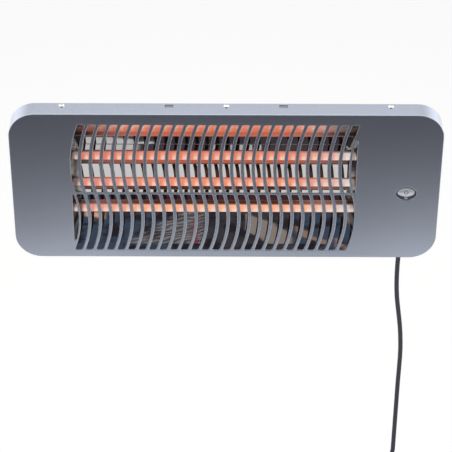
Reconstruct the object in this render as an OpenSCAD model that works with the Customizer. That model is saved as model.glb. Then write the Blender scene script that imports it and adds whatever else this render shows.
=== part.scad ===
// Wall-hung electric bar heater with three quartz tubes behind a grille of S-shaped bars.
// X runs to the right, Y into the wall and Z up. The origin is on the wall plate's back face.

/* [Front cover] */
// Width of the front cover
cover_w = 610; // [600:1:640]
// Height of the front cover
cover_h = 250; // [246:1:270]
// Radius of the cover's four corners
corner_r = 38; // [25:1:45]
// Depth of the cover's rim, from the face to its rear edge
rim_depth = 29; // [26:0.5:32]
// Thickness of the cover's sheet
cover_t = 1.5; // [1:0.1:2]
// Rounding of the edge between the face and the rim
edge_r = 1; // [0.5:0.1:1]

/* [Grille] */
// Number of bars, counted with the short one at each end
bar_count = 27; // [26:1:27]
// Distance from one bar to the next
bar_pitch = 15.35; // [14.5:0.05:15.5]
// Width of a bar
bar_w = 5.3; // [4:0.1:6]
// Width of the short bar that closes each row
end_bar_w = 3.4; // [2.5:0.1:3.8]
// Width of the crossbar between the two rows
crossbar_w = 3.5; // [3:0.1:6]
// Height of the crossbar above the cover's middle
crossbar_z = -10.5; // [-14:0.5:-6]
// Where the first bar crosses the crossbar, from the cover's middle
first_bar_x = -217.3; // [-222:0.1:-214]
// Bare face above the grille
top_margin = 17.8; // [16:0.1:24]
// Bare face below the grille
bottom_margin = 13.5; // [13:0.1:20]
// Radius of the bars' bow in the upper row
upper_bow_r = 205; // [200:5:260]
// Height of the upper bow's middle above the crossbar
upper_bow_rise = 46.5; // [42:0.5:50]
// Radius of the bars' bow in the lower row
lower_bow_r = 160; // [155:5:220]
// Depth of the lower bow's middle below the crossbar
lower_bow_drop = 43.5; // [40:0.5:47]
// Rounding of the openings' corners
opening_r = 2; // [1:0.1:2.5]

/* [Reflector and tubes] */
// Outer diameter of a quartz tube
tube_d = 12.5; // [11:0.1:13.5]
// Wall of a quartz tube
tube_wall = 1.2; // [0.8:0.1:2]
// Distance from one tube to the next
tube_pitch = 45.9; // [43:0.1:47]
// Height of the middle tube above the cover's middle
tube_mid_z = -1.9; // [-4:0.1:0]
// Depth of the tubes' axes behind the face
tube_depth = 18; // [16.5:0.1:20]
// Diameter of the wound heating wire inside a tube
winding_d = 6; // [4:0.5:8]
// Sheet of the reflector and its end cheeks
mirror_t = 0.7; // [0.5:0.1:1]
// Depth of the reflector's flat back behind the face
mirror_depth = 45; // [42:0.5:47]
// Top edge of the reflector's flat back
mirror_back_top = 34.3; // [30:0.1:40]
// Bottom edge of the reflector's flat back
mirror_back_bottom = -40.7; // [-46:0.1:-36]
// Width of the reflector's flat lips behind the cover
mirror_lip = 8; // [5:0.5:10]
// How far an end cheek leans in over its depth
cheek_lean = 12; // [8:0.5:16]

/* [Rear housing] */
// Depth of the whole heater behind its face
body_depth = 60; // [58:1:70]
// Thickness of the housing's sheet
housing_t = 1.2; // [0.8:0.1:1.5]
// Width of the housing's tub
tub_w = 535; // [530:1:545]
// Height of the housing's tub
tub_h = 176; // [172:1:190]
// Sideways place of the tub's middle
tub_x = 17.5; // [14:0.5:20]
// Radius of the tub's corners
tub_r = 14; // [10:1:20]
// Bend between the tub's walls and its back
bend_r = 6; // [3:0.5:7]
// How deep the housing's flange stands inside the rim
flange_depth = 17; // [14:0.5:18]
// Number of vent slots in each row of the back
vent_count = 14; // [8:1:16]
// Length of a vent slot
vent_len = 24; // [16:1:26]
// Width of a vent slot
vent_w = 4; // [3:0.5:5]

/* [Button and switch] */
// Sideways place of the button
button_x = 257.5; // [250:0.5:262]
// Height of the button above the cover's middle
button_z = -9.4; // [-20:0.2:0]
// Width of the button
button_w = 25.5; // [22:0.5:27]
// Height of the button
button_h = 17.5; // [15:0.5:19]
// Width of the oval hole in the cover
recess_w = 29; // [28:0.5:31]
// Height of the oval hole in the cover
recess_h = 22.5; // [20.5:0.5:24]
// How far the button's front lies behind the face
button_sink = 1.7; // [0.5:0.1:2]
// Travel of the button
button_travel = 1.8; // [1:0.1:2.5]

/* [Wall bracket] */
// Width between the outer faces of the bracket's ears
bracket_w = 200; // [180:5:220]
// Height of the wall plate
plate_h = 60; // [50:2:66]
// Thickness of the bracket's steel
bracket_t = 2.5; // [2:0.1:3]
// Spacing of the wall plate's screw holes
hole_spacing = 150; // [120:5:155]
// Diameter of the wall plate's screw holes
hole_d = 6.5; // [5:0.1:8]
// Distance from the wall to the tilt pivot
pivot_off = 46; // [45:0.5:52]
// Distance from the tilt pivot to the back of the housing
pivot_gap = 18; // [17:0.5:20]
// Radius of the ears' round ends
ear_r = 12; // [10:0.5:13]
// Diameter of the pivot bolts
bolt_d = 6; // [5:0.5:6]
// Diameter of the clamp knobs
knob_d = 24; // [20:0.5:25]
// Length of the clamp knobs
knob_len = 13; // [10:0.5:15]

/* [Screws] */
// Diameter of the tapping screws' shanks
screw_d = 3.9; // [3:0.1:4.2]
// Diameter of the tapping screws' heads
screw_head_d = 8; // [7:0.1:9]
// Height of the tapping screws' heads
screw_head_h = 2.2; // [1.6:0.1:2.5]
// Distance of the outer cover screws from the middle one
cover_screw_x = 230; // [220:1:235]
// Distance of the cover screws from the rim's rear edge
cover_screw_back = 7; // [6:0.5:8]

/* [Cord and plug] */
// Diameter of the cord
cord_d = 7; // [6:0.1:7]
// Length of the tapered cord sleeve below the housing
sleeve_len = 30; // [20:1:32]
// Diameter of the plug's body
plug_d = 37; // [34:1:40]
// Length of the plug's pins
pin_len = 19; // [18:0.5:20]

/* [Hidden] */
$fn = 64;

// Clearances
rest_gap = 0.3;    // between pieces that rest on each other, and across every joint
run_gap = 0.05;    // round a shaft in its bore
cut = 1;           // how far a cutter runs past the wall it cuts

// Depths behind the face. In the face's frame x is X, y is Z and z is minus the depth.
face_off = pivot_off + pivot_gap + body_depth;
mirror_front = cover_t + rest_gap;
flange_back = rim_depth - 2;
flange_front = flange_back - flange_depth;
tub_floor = body_depth - housing_t;

// Grille
row_top = cover_h / 2 - top_margin;
row_bottom = -cover_h / 2 + bottom_margin;
upper_low = crossbar_z + crossbar_w / 2;
lower_high = crossbar_z - crossbar_w / 2;
upper_bow_z = crossbar_z + upper_bow_rise;
lower_bow_z = crossbar_z - lower_bow_drop;
last_bar_x = first_bar_x + (bar_count - 1) * bar_pitch;
sliver_inset = 0.5;   // from the widest point of the end openings to the slivers' straight edge
sliver_tip_w = 2.4;   // width at which a sliver's tip closes
sliver_r = 0.8;
bow_steps = 8;

// Reflector ends and tube supports
mirror_left = first_bar_x - 3.7;
mirror_right = last_bar_x + 5.2;
support_t = 1;
support_gap = 4;      // from a cheek's front edge to the support plate behind it
support_left = mirror_left - support_gap;
support_right = mirror_right + support_gap;
tube_names = ["top", "middle", "bottom"];
tube_z = [tube_mid_z + tube_pitch, tube_mid_z, tube_mid_z - tube_pitch];
cap_neck_r = tube_d / 2 + 1.6;
cap_flange_r = cap_neck_r + 2;
cap_neck_len = 5;
cap_flange_len = 2.5;
cap_tail_len = 6;
cap_pin_len = 4;
foot_w = 16;          // of a tube bracket's foot on the housing's back
foot_reach = 15;      // from the outer tubes to the brackets' ends
vent_margin = 30;     // from the tub's walls to the middles of the outer vent slots

// Hinge
washer_r = 9;
washer_t = 1;
lug_x = bracket_w / 2 + washer_t + rest_gap;
lug_r = 10;
lug_half = 14;        // half the width of a hinge lug at its foot
knob_x = lug_x + bracket_t + rest_gap;
lug_foot = 22;
lug_screw_z = 8;

// Cord's way: the free stretch from the sleeve to the coil, then the coil and the plug
gland_x = 257;
gland_depth = 40;
cord_y = gland_depth - face_off;
sleeve_end = -tub_h / 2 - sleeve_len;
cord_points = [[257, -140], [256.5, -170], [257, -200], [259, -230], [263, -260], [267, -290],
    [269.5, -320], [270.5, -350], [270, -400], [270, -450], [270, -500], [270, -536]];
coil_x = 270;
coil_z = -620;
coil_out_r = 48.5;
coil_step = 7.6;      // from one turn to the next, and from one layer to the next
coil_entry_r = 32;    // of the bend that leads the hanging cord into the outer turn
coil_rings = 24;
plug_tail = 40;       // straight cord from the coil's side to the plug
plug_neck_len = 22;
plug_len = 36;

// ---------------------------------------------------------------- shared shapes

// Points of an arc about (cx, cy)
function arc(cx, cy, r, from, to, n) =
    [for (i = [0:n]) let (a = from + (to - from) * i / n) [cx + r * cos(a), cy + r * sin(a)]];

// Places children, drawn in the face's frame, in the part's frame
module face_frame() translate([0, -face_off, 0]) rotate([90, 0, 0]) children();

// Extrudes a shape of the face's plane between two depths
module between(front, back) translate([0, 0, -back]) linear_extrude(back - front) children();

module rounded_rect(w, h, r) {
    x = w / 2 - r;
    y = h / 2 - r;
    polygon(concat(arc(x, y, r, 0, 90, 12), arc(-x, y, r, 90, 180, 12),
        arc(-x, -y, r, 180, 270, 12), arc(x, -y, r, 270, 360, 12)));
}

module oval(w, h) polygon([for (i = [0:47]) [w / 2 * cos(7.5 * i), h / 2 * sin(7.5 * i)]]);

module stadium(w, h) {
    y = (h - w) / 2;
    polygon(concat(arc(0, y, w / 2, 0, 180, 8), arc(0, -y, w / 2, 180, 360, 8)));
}

// Sweeps a wall's section round a rounded rectangle. The section's x counts out from the
// corners' centres and its y is minus the depth.
module wall_sweep(w, h, r)
    for (i = [0:3]) rotate([0, 0, 90 * i]) {
        x = (i % 2 == 0 ? w : h) / 2 - r;
        y = (i % 2 == 0 ? h : w) / 2 - r;
        translate([x, y, 0]) rotate([90, 0, 0]) linear_extrude(2 * y) children();
        translate([x, y, 0]) rotate_extrude(angle = 90) children();
    }

// A pan-head screw whose head rests on z = 0 and whose shank points down
module pan_screw(len) {
    translate([0, 0, -len]) cylinder(d = screw_d, h = len);
    rotate_extrude() polygon(concat([[0, 0], [screw_head_d / 2, 0],
        [screw_head_d / 2, screw_head_h * 0.35]],
        [for (a = [15:15:75]) [screw_head_d / 2 * cos(a), screw_head_h * (0.35 + 0.65 * sin(a))]],
        [[0, screw_head_h]]));
}

// A screw's hole, as long each way as a screw
module screw_hole() cylinder(d = screw_d + 2 * run_gap, h = 8, center = true);

// ---------------------------------------------------------------- swept tubes

function unit(v) = v / norm(v);

// A ring of n points round p, square to the direction t
function ring(p, t, r, n) =
    let (side = unit(cross(t, [0, 1, 0])), up = cross(side, t))
    [for (i = [0:n - 1]) p + r * (cos(360 * i / n) * side + sin(360 * i / n) * up)];

function heading(path, i) = unit(path[min(i + 1, len(path) - 1)] - path[max(i - 1, 0)]);

module swept_tube(path, r, n) {
    last = (len(path) - 1) * n;
    polyhedron(
        points = [for (i = [0:len(path) - 1]) each ring(path[i], heading(path, i), r, n)],
        faces = concat(
            [[for (j = [n - 1:-1:0]) j]],
            [[for (j = [0:n - 1]) last + j]],
            [for (i = [0:len(path) - 2], j = [0:n - 1]) let (k = (j + 1) % n, a = i * n, b = a + n)
                each [[a + j, b + k, b + j], [a + j, a + k, b + k]]]));
}

// A point of the smooth curve through four points
function blend_point(a, b, c, d, t) =
    0.5 * (2 * b + (c - a) * t + (2 * a - 5 * b + 4 * c - d) * t * t
        + (3 * b - a - 3 * c + d) * t * t * t);

function smooth(pts, steps) = concat(
    [for (i = [0:len(pts) - 2], s = [0:steps - 1])
        blend_point(pts[max(i - 1, 0)], pts[i], pts[i + 1], pts[min(i + 2, len(pts) - 1)],
            s / steps)],
    [pts[len(pts) - 1]]);

// ---------------------------------------------------------------- front cover

// How far a bar has bowed sideways at height z, from where it crosses the crossbar
function upper_bow(z) = ((z - upper_bow_z) ^ 2 - upper_bow_rise ^ 2) / (2 * upper_bow_r);
function lower_bow(z) = (lower_bow_drop ^ 2 - (z - lower_bow_z) ^ 2) / (2 * lower_bow_r);
function bow(z) = z > crossbar_z ? upper_bow(z) : lower_bow(z);

// Heights at which an opening's outline has points: close at its round corners, even between
function stations(low, high, r) = concat(
    [for (a = [0:30:60]) low + r * (1 - cos(a))],
    [for (i = [0:bow_steps]) low + r + (high - low - 2 * r) * i / bow_steps],
    [for (a = [60:-30:0]) high - r * (1 - cos(a))]);

// How far the round corners draw an opening's side in at height z
function drawn_in(z, low, high, r) =
    let (e = min(z - low, high - z)) e >= r ? 0 : r - sqrt(max(0, r ^ 2 - (r - e) ^ 2));

// An opening between two sides. A side follows the bars' bow by its share, 1 or 0.
module opening(low, high, left, right, left_share, right_share, corner) {
    end_width = min([for (z = [low, high]) right - left + (right_share - left_share) * bow(z)]);
    r = min(corner, 0.45 * end_width);
    zs = stations(low, high, r);
    polygon(concat(
        [for (z = zs) [left + left_share * bow(z) + drawn_in(z, low, high, r), z]],
        [for (i = [len(zs) - 1:-1:0]) let (z = zs[i])
            [right + right_share * bow(z) - drawn_in(z, low, high, r), z]]));
}

module grille_openings() {
    for (row = [[upper_low, row_top], [row_bottom, lower_high]], k = [0:bar_count - 2])
        opening(row[0], row[1], first_bar_x + k * bar_pitch + bar_w / 2,
            first_bar_x + (k + 1) * bar_pitch - bar_w / 2, 1, 1, opening_r);
    // the sliver right of the upper row, between the short last bar and a straight edge
    upper_edge = last_bar_x - bar_w / 2 + end_bar_w;
    upper_border = last_bar_x - bar_w / 2 + lower_bow(lower_bow_z) - sliver_inset;
    upper_room = upper_border - upper_edge - upper_bow(upper_bow_z) - sliver_tip_w;
    opening(upper_low, upper_bow_z + sqrt(2 * upper_bow_r * upper_room),
        upper_edge, upper_border, 1, 0, sliver_r);
    // the sliver left of the lower row
    lower_edge = first_bar_x + bar_w / 2 - end_bar_w;
    lower_border = first_bar_x + bar_w / 2 + upper_bow(upper_bow_z) + sliver_inset;
    lower_room = lower_edge + lower_bow(lower_bow_z) - lower_border - sliver_tip_w;
    opening(lower_bow_z - sqrt(2 * lower_bow_r * lower_room), lower_high,
        lower_border, lower_edge, 0, 1, sliver_r);
}

// Places children at each cover screw, pointing out of the rim
module at_cover_screws(height)
    for (x = [-cover_screw_x, 0, cover_screw_x], s = [-1, 1])
        translate([x, s * height, cover_screw_back - rim_depth]) rotate([-90 * s, 0, 0]) children();

// Windows in the rim's top and bottom, with the housing's flange behind them
module rim_windows()
    for (x = [-80, 80], s = [-1, 1])
        translate([x, s * cover_h / 2, -(flange_back - housing_t - 4)])
            cube([12, 8, 7], center = true);

module front_cover() color("slategray") face_frame() difference() {
    union() {
        inset = (cover_t + edge_r) / 2;
        between(0, cover_t) difference() {
            rounded_rect(cover_w - 2 * inset, cover_h - 2 * inset, corner_r - inset);
            grille_openings();
            translate([button_x, button_z]) oval(recess_w, recess_h);
        }
        wall_sweep(cover_w, cover_h, corner_r)
            polygon(concat([[corner_r - cover_t, 0]],
                arc(corner_r - edge_r, -edge_r, edge_r, 90, 0, 4),
                [[corner_r, -rim_depth], [corner_r - cover_t, -rim_depth]]));
    }
    at_cover_screws(cover_h / 2) screw_hole();
    rim_windows();
}

module cover_screws() color("silver") face_frame()
    at_cover_screws(cover_h / 2) pan_screw(cover_t + housing_t + 4);

// ---------------------------------------------------------------- rear housing

module rear_housing() color("dimgray") face_frame() difference() {
    flange_w = cover_w - 2 * (cover_t + rest_gap);
    flange_h = cover_h - 2 * (cover_t + rest_gap);
    flange_r = corner_r - cover_t - rest_gap;
    union() {
        wall_sweep(flange_w, flange_h, flange_r)
            translate([flange_r - housing_t, -flange_back]) square([housing_t, flange_depth]);
        between(flange_back - housing_t, flange_back) difference() {
            rounded_rect(flange_w - housing_t, flange_h - housing_t, flange_r - housing_t / 2);
            translate([tub_x, 0])
                rounded_rect(tub_w - housing_t, tub_h - housing_t, tub_r - housing_t / 2);
        }
        translate([tub_x, 0, 0]) {
            wall_sweep(tub_w, tub_h, tub_r) tub_section();
            floor_in = bend_r + 1;
            between(tub_floor, body_depth) difference() {
                rounded_rect(tub_w - 2 * floor_in, tub_h - 2 * floor_in, tub_r - floor_in);
                vent_rows();
            }
        }
    }
    at_cover_screws(cover_h / 2 - cover_t) screw_hole();
    at_lug_screws() screw_hole();
    at_bracket_screws() screw_hole();
    translate([gland_x, -tub_h / 2, -gland_depth]) rotate([90, 0, 0])
        cylinder(r = sleeve_neck_r + run_gap, h = 8, center = true);
    at_earth_screw() screw_hole();
}

module tub_section() {
    turn = body_depth - bend_r;
    polygon(concat([[tub_r, -(flange_back - housing_t)]],
        arc(tub_r - bend_r, -turn, bend_r, 0, -90, 6),
        [[tub_r - bend_r - 2, -body_depth], [tub_r - bend_r - 2, -tub_floor]],
        arc(tub_r - bend_r, -turn, bend_r - housing_t, -90, 0, 6),
        [[tub_r - housing_t, -(flange_back - housing_t)]]));
}

module vent_rows() {
    step = (tub_w - 2 * vent_margin) / (vent_count - 1);
    for (s = [-1, 1], i = [0:vent_count - 1])
        translate([(i - (vent_count - 1) / 2) * step, s * (tub_h / 2 - vent_margin)])
            stadium(vent_w, vent_len);
}

// ---------------------------------------------------------------- reflector

// The trough's front faces from the top lip to the bottom lip, as [height, -depth]. The lower
// wall ends in a fold behind the slots' ends and comes forward from there to its lip.
fold_top = row_top + 0.3;
fold_bottom = row_bottom + 5.5;
fold_depth = 8;
lip_bottom = row_bottom - 2.5;
trough = [[fold_top + mirror_lip, -mirror_front], [fold_top, -mirror_front],
    [mirror_back_top, -mirror_depth], [mirror_back_bottom, -mirror_depth],
    [fold_bottom, -fold_depth], [lip_bottom, -mirror_front],
    [lip_bottom - mirror_lip / 2, -mirror_front]];

// Directions square to the trough's walls, and the mitre at each corner that keeps one distance
function square_to(i) = let (v = unit(trough[i + 1] - trough[i])) [-v[1], v[0]];
function mitre(i) =
    i == 0 ? square_to(0) :
    i == len(trough) - 1 ? square_to(len(trough) - 2) :
    let (a = square_to(i - 1), b = square_to(i)) (a + b) / (1 + a * b);

// The trough's outline moved square to itself; more than 0 is away from the tubes
function trough_moved(by) = [for (i = [0:len(trough) - 1]) trough[i] + by * mitre(i)];

// Extrudes a section drawn as [height, -depth] along X
module along_x(left, right) translate([left, 0, 0]) rotate([90, 0, 90])
    linear_extrude(right - left) children();

module reflector() color("gainsboro") face_frame()
    along_x(support_left + rest_gap, support_right - rest_gap)
        polygon(concat(trough_moved(0), [for (i = [len(trough) - 1:-1:0])
            trough_moved(mirror_t)[i]]));

// A cheek closes the trough's end: side is -1 on the left and 1 on the right
module cheek(x, side) color("lightgray") face_frame() difference() {
    inner = trough_moved(-rest_gap);
    intersection() {
        along_x(-cover_w / 2, cover_w / 2)
            polygon([for (i = [1:5]) inner[i]]);
        translate([0, cover_h / 2, 0]) rotate([90, 0, 0]) linear_extrude(cover_h)
            polygon([[x, -mirror_front], [x + side * mirror_t, -mirror_front],
                [x + side * (mirror_t - cheek_lean), -mirror_depth],
                [x - side * cheek_lean, -mirror_depth]]);
    }
    for (z = tube_z) translate([x - side * cheek_lean / 2, z, -tube_depth]) rotate([0, 90, 0])
        cylinder(r = tube_d / 2 + 0.8, h = 3 * cheek_lean, center = true);
}

module reflector_cheek_left() cheek(mirror_left, -1);
module reflector_cheek_right() cheek(mirror_right, 1);

// ---------------------------------------------------------------- tubes and their supports

// A tube ends inside its caps' necks
tube_left = support_left - support_t;
tube_right = support_right + support_t;

module quartz_tube(i) color("lightsalmon") face_frame()
    translate([tube_left, tube_z[i], -tube_depth]) rotate([0, 90, 0]) difference() {
        cylinder(d = tube_d, h = tube_right - tube_left);
        translate([0, 0, -cut])
            cylinder(d = tube_d - 2 * tube_wall, h = tube_right - tube_left + 2 * cut);
    }

module heating_wire(i) color("orangered") face_frame()
    translate([tube_left, tube_z[i], -tube_depth]) rotate([0, 90, 0]) difference() {
        cylinder(d = winding_d, h = tube_right - tube_left);
        translate([0, 0, -cut]) cylinder(d = winding_d - 2, h = tube_right - tube_left + 2 * cut);
    }

// A cap's section: x is the radius, y counts out from the support plate's outer face
module cap_section() polygon([[0, 0], [tube_d / 2 + run_gap, 0],
    [tube_d / 2 + run_gap, -cap_neck_len], [cap_neck_r, -cap_neck_len], [cap_neck_r, 0],
    [cap_flange_r, 0], [cap_flange_r, cap_flange_len], [cap_neck_r - 1.5, cap_flange_len],
    [cap_neck_r - 1.5, cap_flange_len + cap_tail_len], [1.5, cap_flange_len + cap_tail_len],
    [1.5, cap_flange_len + cap_tail_len + cap_pin_len],
    [0, cap_flange_len + cap_tail_len + cap_pin_len]]);

module end_cap(i, side) color("ivory") face_frame()
    translate([side > 0 ? tube_right : tube_left, tube_z[i], -tube_depth])
        rotate([0, 90 * side, 0]) rotate_extrude() cap_section();

// A plate with a foot on the housing's back and a hole for each cap's neck
module tube_bracket(x, side) color("silver") face_frame() difference() {
    plate_top = tube_z[0] + foot_reach;
    plate_low = tube_z[2] - foot_reach;
    outer = side > 0 ? x : x - support_t;
    translate([outer, plate_low, -tub_floor]) difference() {
        cube([support_t, plate_top - plate_low, tub_floor - 6]);
        // corners cut back along the reflector's slanting walls
        for (s = [0, 1]) translate([-cut, s * (plate_top - plate_low), tub_floor - 6])
            rotate([45, 0, 0]) cube([support_t + 2 * cut, 8, 8], center = true);
    }
    for (z = tube_z) translate([outer - cut, z, -tube_depth]) rotate([0, 90, 0])
        cylinder(r = cap_neck_r + run_gap, h = support_t + 2 * cut);
}

module bracket_foot(x, side) color("silver") face_frame() difference() {
    outer = side > 0 ? x : x - support_t;
    translate([side > 0 ? outer : outer + support_t - foot_w, tube_z[2] - foot_reach, -tub_floor])
        cube([foot_w, tube_z[0] - tube_z[2] + 2 * foot_reach, support_t]);
    at_bracket_screws() screw_hole();
}

module tube_bracket_left() {
    tube_bracket(support_left, -1);
    bracket_foot(support_left, -1);
}

module tube_bracket_right() {
    tube_bracket(support_right, 1);
    bracket_foot(support_right, 1);
}

module at_bracket_screws()
    for (x = [support_left - foot_w / 2, support_right + foot_w / 2],
         z = [tube_z[0] + 8, tube_z[2] - 8])
        translate([x, z, -tub_floor + support_t]) children();

module bracket_screws() color("silver") face_frame()
    at_bracket_screws() pan_screw(support_t + housing_t + 2);

// ---------------------------------------------------------------- button and switch

stem_r = 2.5;
button_len = 8;
bezel_front = 2.2;
bezel_len = 11.5;
switch_front = bezel_front + bezel_len + rest_gap;
switch_len = 20;
stem_len = 14;

module push_button() color("gainsboro") face_frame() translate([button_x, button_z, 0]) {
    between(button_sink, button_sink + 0.8) oval(button_w - 0.8, button_h - 0.8);
    between(button_sink + 0.8, button_sink + button_len) oval(button_w, button_h);
    translate([0, 0, -(button_sink + button_len + stem_len)])
        cylinder(r = stem_r, h = stem_len + 1);
}

module button_bezel() color("dimgray") face_frame() translate([button_x, button_z, 0])
    difference() {
        union() {
            between(bezel_front, bezel_front + bezel_len)
                oval(recess_w - 2 * rest_gap, recess_h - 2 * rest_gap);
            between(cover_t + rest_gap, cover_t + rest_gap + 2) oval(recess_w + 6, recess_h + 6);
        }
        between(0, switch_front) oval(button_w + 0.8, button_h + 0.8);
    }

module push_switch() color("black") face_frame() translate([button_x, button_z, 0])
    difference() {
        union() {
            between(switch_front, switch_front + switch_len) square([22, 20], center = true);
            for (x = [-6, 6]) translate([x, 0, -(switch_front + switch_len + 8)])
                translate([-0.4, -3, 0]) cube([0.8, 6, 9]);
        }
        translate([0, 0, -(button_sink + button_len + stem_len + button_travel + 1)])
            cylinder(r = stem_r + run_gap, h = 20);
    }

// ---------------------------------------------------------------- wiring inside the housing

wire_r = 1.1;
block_x = 225;
block_z = -46;
block_w = 14;
wire_depth = tub_floor - 7;   // at which wires enter the terminal block

// An eight-sided wire between two points, running past both ends by its radius
module wire(a, b) {
    v = b - a;
    translate(a) rotate([0, acos(v[2] / norm(v)), atan2(v[1], v[0])]) translate([0, 0, -wire_r])
        cylinder(r = wire_r, h = norm(v) + 2 * wire_r, $fn = 8);
}

module wire_run(points)
    for (i = [0:len(points) - 2]) wire(points[i], points[i + 1]);

cap_reach = cap_flange_len + cap_tail_len + cap_pin_len;
link_x = tube_left - cap_reach - wire_r;
lead_x = tube_right + cap_reach + wire_r;

// Joins the tubes' left ends
module link_wires() color("white") face_frame()
    wire_run([[link_x, tube_z[0], -tube_depth], [link_x, tube_z[2], -tube_depth]]);

// Runs to the terminal block from the tubes' right ends, the switch and the supply tail
module lead_wires() color("firebrick") face_frame() {
    block_left = block_x - block_w / 2 - wire_r;
    block_right = block_x + block_w / 2 + wire_r;
    tab_x = button_x - 6;
    tail_z = tail_top - tub_h / 2 + wire_r;
    wire_run([[lead_x, tube_z[0], -tube_depth], [lead_x, tube_z[2], -tube_depth],
        [lead_x, tube_z[2], -wire_depth], [lead_x, block_z, -wire_depth],
        [block_left, block_z, -wire_depth]]);
    wire_run([[tab_x, button_z, -(switch_front + switch_len + 8 + wire_r)],
        [tab_x, button_z, -wire_depth], [tab_x, block_z, -wire_depth],
        [block_right, block_z, -wire_depth]]);
    wire_run([[gland_x, tail_z, -gland_depth], [gland_x, tail_z, -wire_depth],
        [block_right, tail_z, -wire_depth]]);
}

module terminal_block() color("ivory") face_frame()
    translate([block_x, block_z, -tub_floor]) difference() {
        translate([-block_w / 2, -15, 0]) cube([block_w, 30, 12]);
        for (z = [-10, 0, 10]) translate([0, z, 8]) cylinder(d = 4, h = 10);
    }

module thermal_cutout() color("black") face_frame()
    translate([block_x + 5, tube_z[0] - 5, -tub_floor]) {
        cylinder(d = 16, h = 9);
        translate([-12, -4, 0]) cube([24, 8, 1.2]);
    }

module at_earth_screw()
    translate([block_x + 25, tube_z[0], -tub_floor]) children();

module earth_screw() color("goldenrod") face_frame() at_earth_screw() pan_screw(housing_t + 2);

clamp_z = -tub_h / 2 + 18;

// A saddle over the supply tail, on two pillars from the housing's back
module cable_clamp() color("white") face_frame() translate([gland_x, clamp_z, 0])
    difference() {
        translate([-12, -5, -tub_floor]) cube([24, 10, tub_floor - gland_depth + cord_d / 2 + 2]);
        translate([0, 0, -gland_depth]) rotate([90, 0, 0])
            cylinder(d = cord_d + 2 * run_gap, h = 12, center = true);
    }

// ---------------------------------------------------------------- cord sleeve and cord

tail_top = 30;        // how far the supply tail stands inside the housing
sleeve_neck_r = 6.5;
sleeve_top_r = 8.5;
sleeve_tip_r = cord_d / 2 + 1.3;

module at_gland() translate([gland_x, cord_y, -tub_h / 2]) children();

module strain_relief() color([0.2, 0.21, 0.25]) at_gland() difference() {
    rotate_extrude() polygon([[0, housing_t + 3], [sleeve_top_r, housing_t + 3],
        [sleeve_top_r, housing_t], [sleeve_neck_r, housing_t], [sleeve_neck_r, 0],
        [sleeve_top_r, 0], [sleeve_top_r, -3], [sleeve_neck_r, -4],
        [sleeve_tip_r, -sleeve_len], [0, -sleeve_len]]);
    translate([0, 0, -sleeve_len - cut])
        cylinder(d = cord_d + 2 * run_gap, h = sleeve_len + housing_t + 3 + 2 * cut);
}

module supply_tail() color([0.25, 0.26, 0.3]) at_gland()
    translate([0, 0, -sleeve_len]) cylinder(d = cord_d, h = sleeve_len + tail_top);

cord_path = smooth(concat([[gland_x, cord_y, sleeve_end]],
    [for (p = cord_points) [p[0], cord_y, p[1]]]), 2);

module cord() color([0.25, 0.26, 0.3]) swept_tube(cord_path, cord_d / 2, 10);

// The coil: a bend from the hanging cord into the outer turn, turns that spiral in on one layer
// and out on the next, and a straight tail down to the plug
entry_drop = sqrt((coil_out_r + coil_entry_r) ^ 2 - coil_entry_r ^ 2);
entry_angle = acos(coil_entry_r / (coil_out_r + coil_entry_r));
coil_start = 180 - entry_angle;
coil_turns = 5 + (180 - coil_start) / 360;
coil_in_r = coil_out_r - coil_step * coil_turns / 2;
coil_top = cord_points[len(cord_points) - 1][1];

function turn_r(t) = coil_in_r + coil_step * abs(t - coil_turns / 2);
function turn_y(t) = coil_step * min(1, max(0, 2 * (t - coil_turns / 2) + 0.5));
function turn_point(t) = let (a = coil_start + 360 * t)
    [coil_x + turn_r(t) * cos(a), cord_y + turn_y(t), coil_z + turn_r(t) * sin(a)];

coil_entry = [for (a = [0:entry_angle / 4:entry_angle * 0.99])
    [coil_x - coil_entry_r + coil_entry_r * cos(a), cord_y,
        coil_z + entry_drop - coil_entry_r * sin(a)]];
turn_count = round(coil_turns * coil_rings);
coil_loops = [for (i = [0:turn_count]) turn_point(i * coil_turns / turn_count)];
coil_end = coil_loops[len(coil_loops) - 1];
coil_path = concat([[coil_x, cord_y, coil_top]], coil_entry, coil_loops,
    [for (i = [1:2]) coil_end - [0, 0, plug_tail * i / 2]]);

// Least distance between parts of the coil's centre line more than half a turn apart
coil_gap = min([for (i = [0:len(coil_path) - 1], j = [i + 12:1:len(coil_path) - 1])
    norm(coil_path[i] - coil_path[j])]) - cord_d;
echo(coil_gap = coil_gap);

module cord_coil() color([0.25, 0.26, 0.3]) swept_tube(coil_path, cord_d / 2, 6);

// A flat tie round the bundle of turns, with its lock on the outside
tie_angle = -70;
tie_w = 6;
tie_t = 1.2;

module cord_tie() color("black")
    translate([coil_x, cord_y + coil_step / 2, coil_z]) rotate([90, -tie_angle, 0]) {
        low = coil_in_r - cord_d / 2 - rest_gap;
        high = coil_out_r + cord_d / 2 + rest_gap;
        deep = coil_step + cord_d + 2 * rest_gap;
        difference() {
            translate([low - tie_t, -tie_w / 2, -deep / 2 - tie_t])
                cube([high - low + 2 * tie_t, tie_w, deep + 2 * tie_t]);
            translate([low, -tie_w / 2 - cut, -deep / 2])
                cube([high - low, tie_w + 2 * cut, deep]);
        }
        translate([high + tie_t, -tie_w / 2 - 1, -5]) cube([4, tie_w + 2, 8]);
    }

// ---------------------------------------------------------------- plug

pin_r = 2.4;
pin_spacing = 19;

module at_plug() translate(coil_end - [0, 0, plug_tail]) children();

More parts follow.
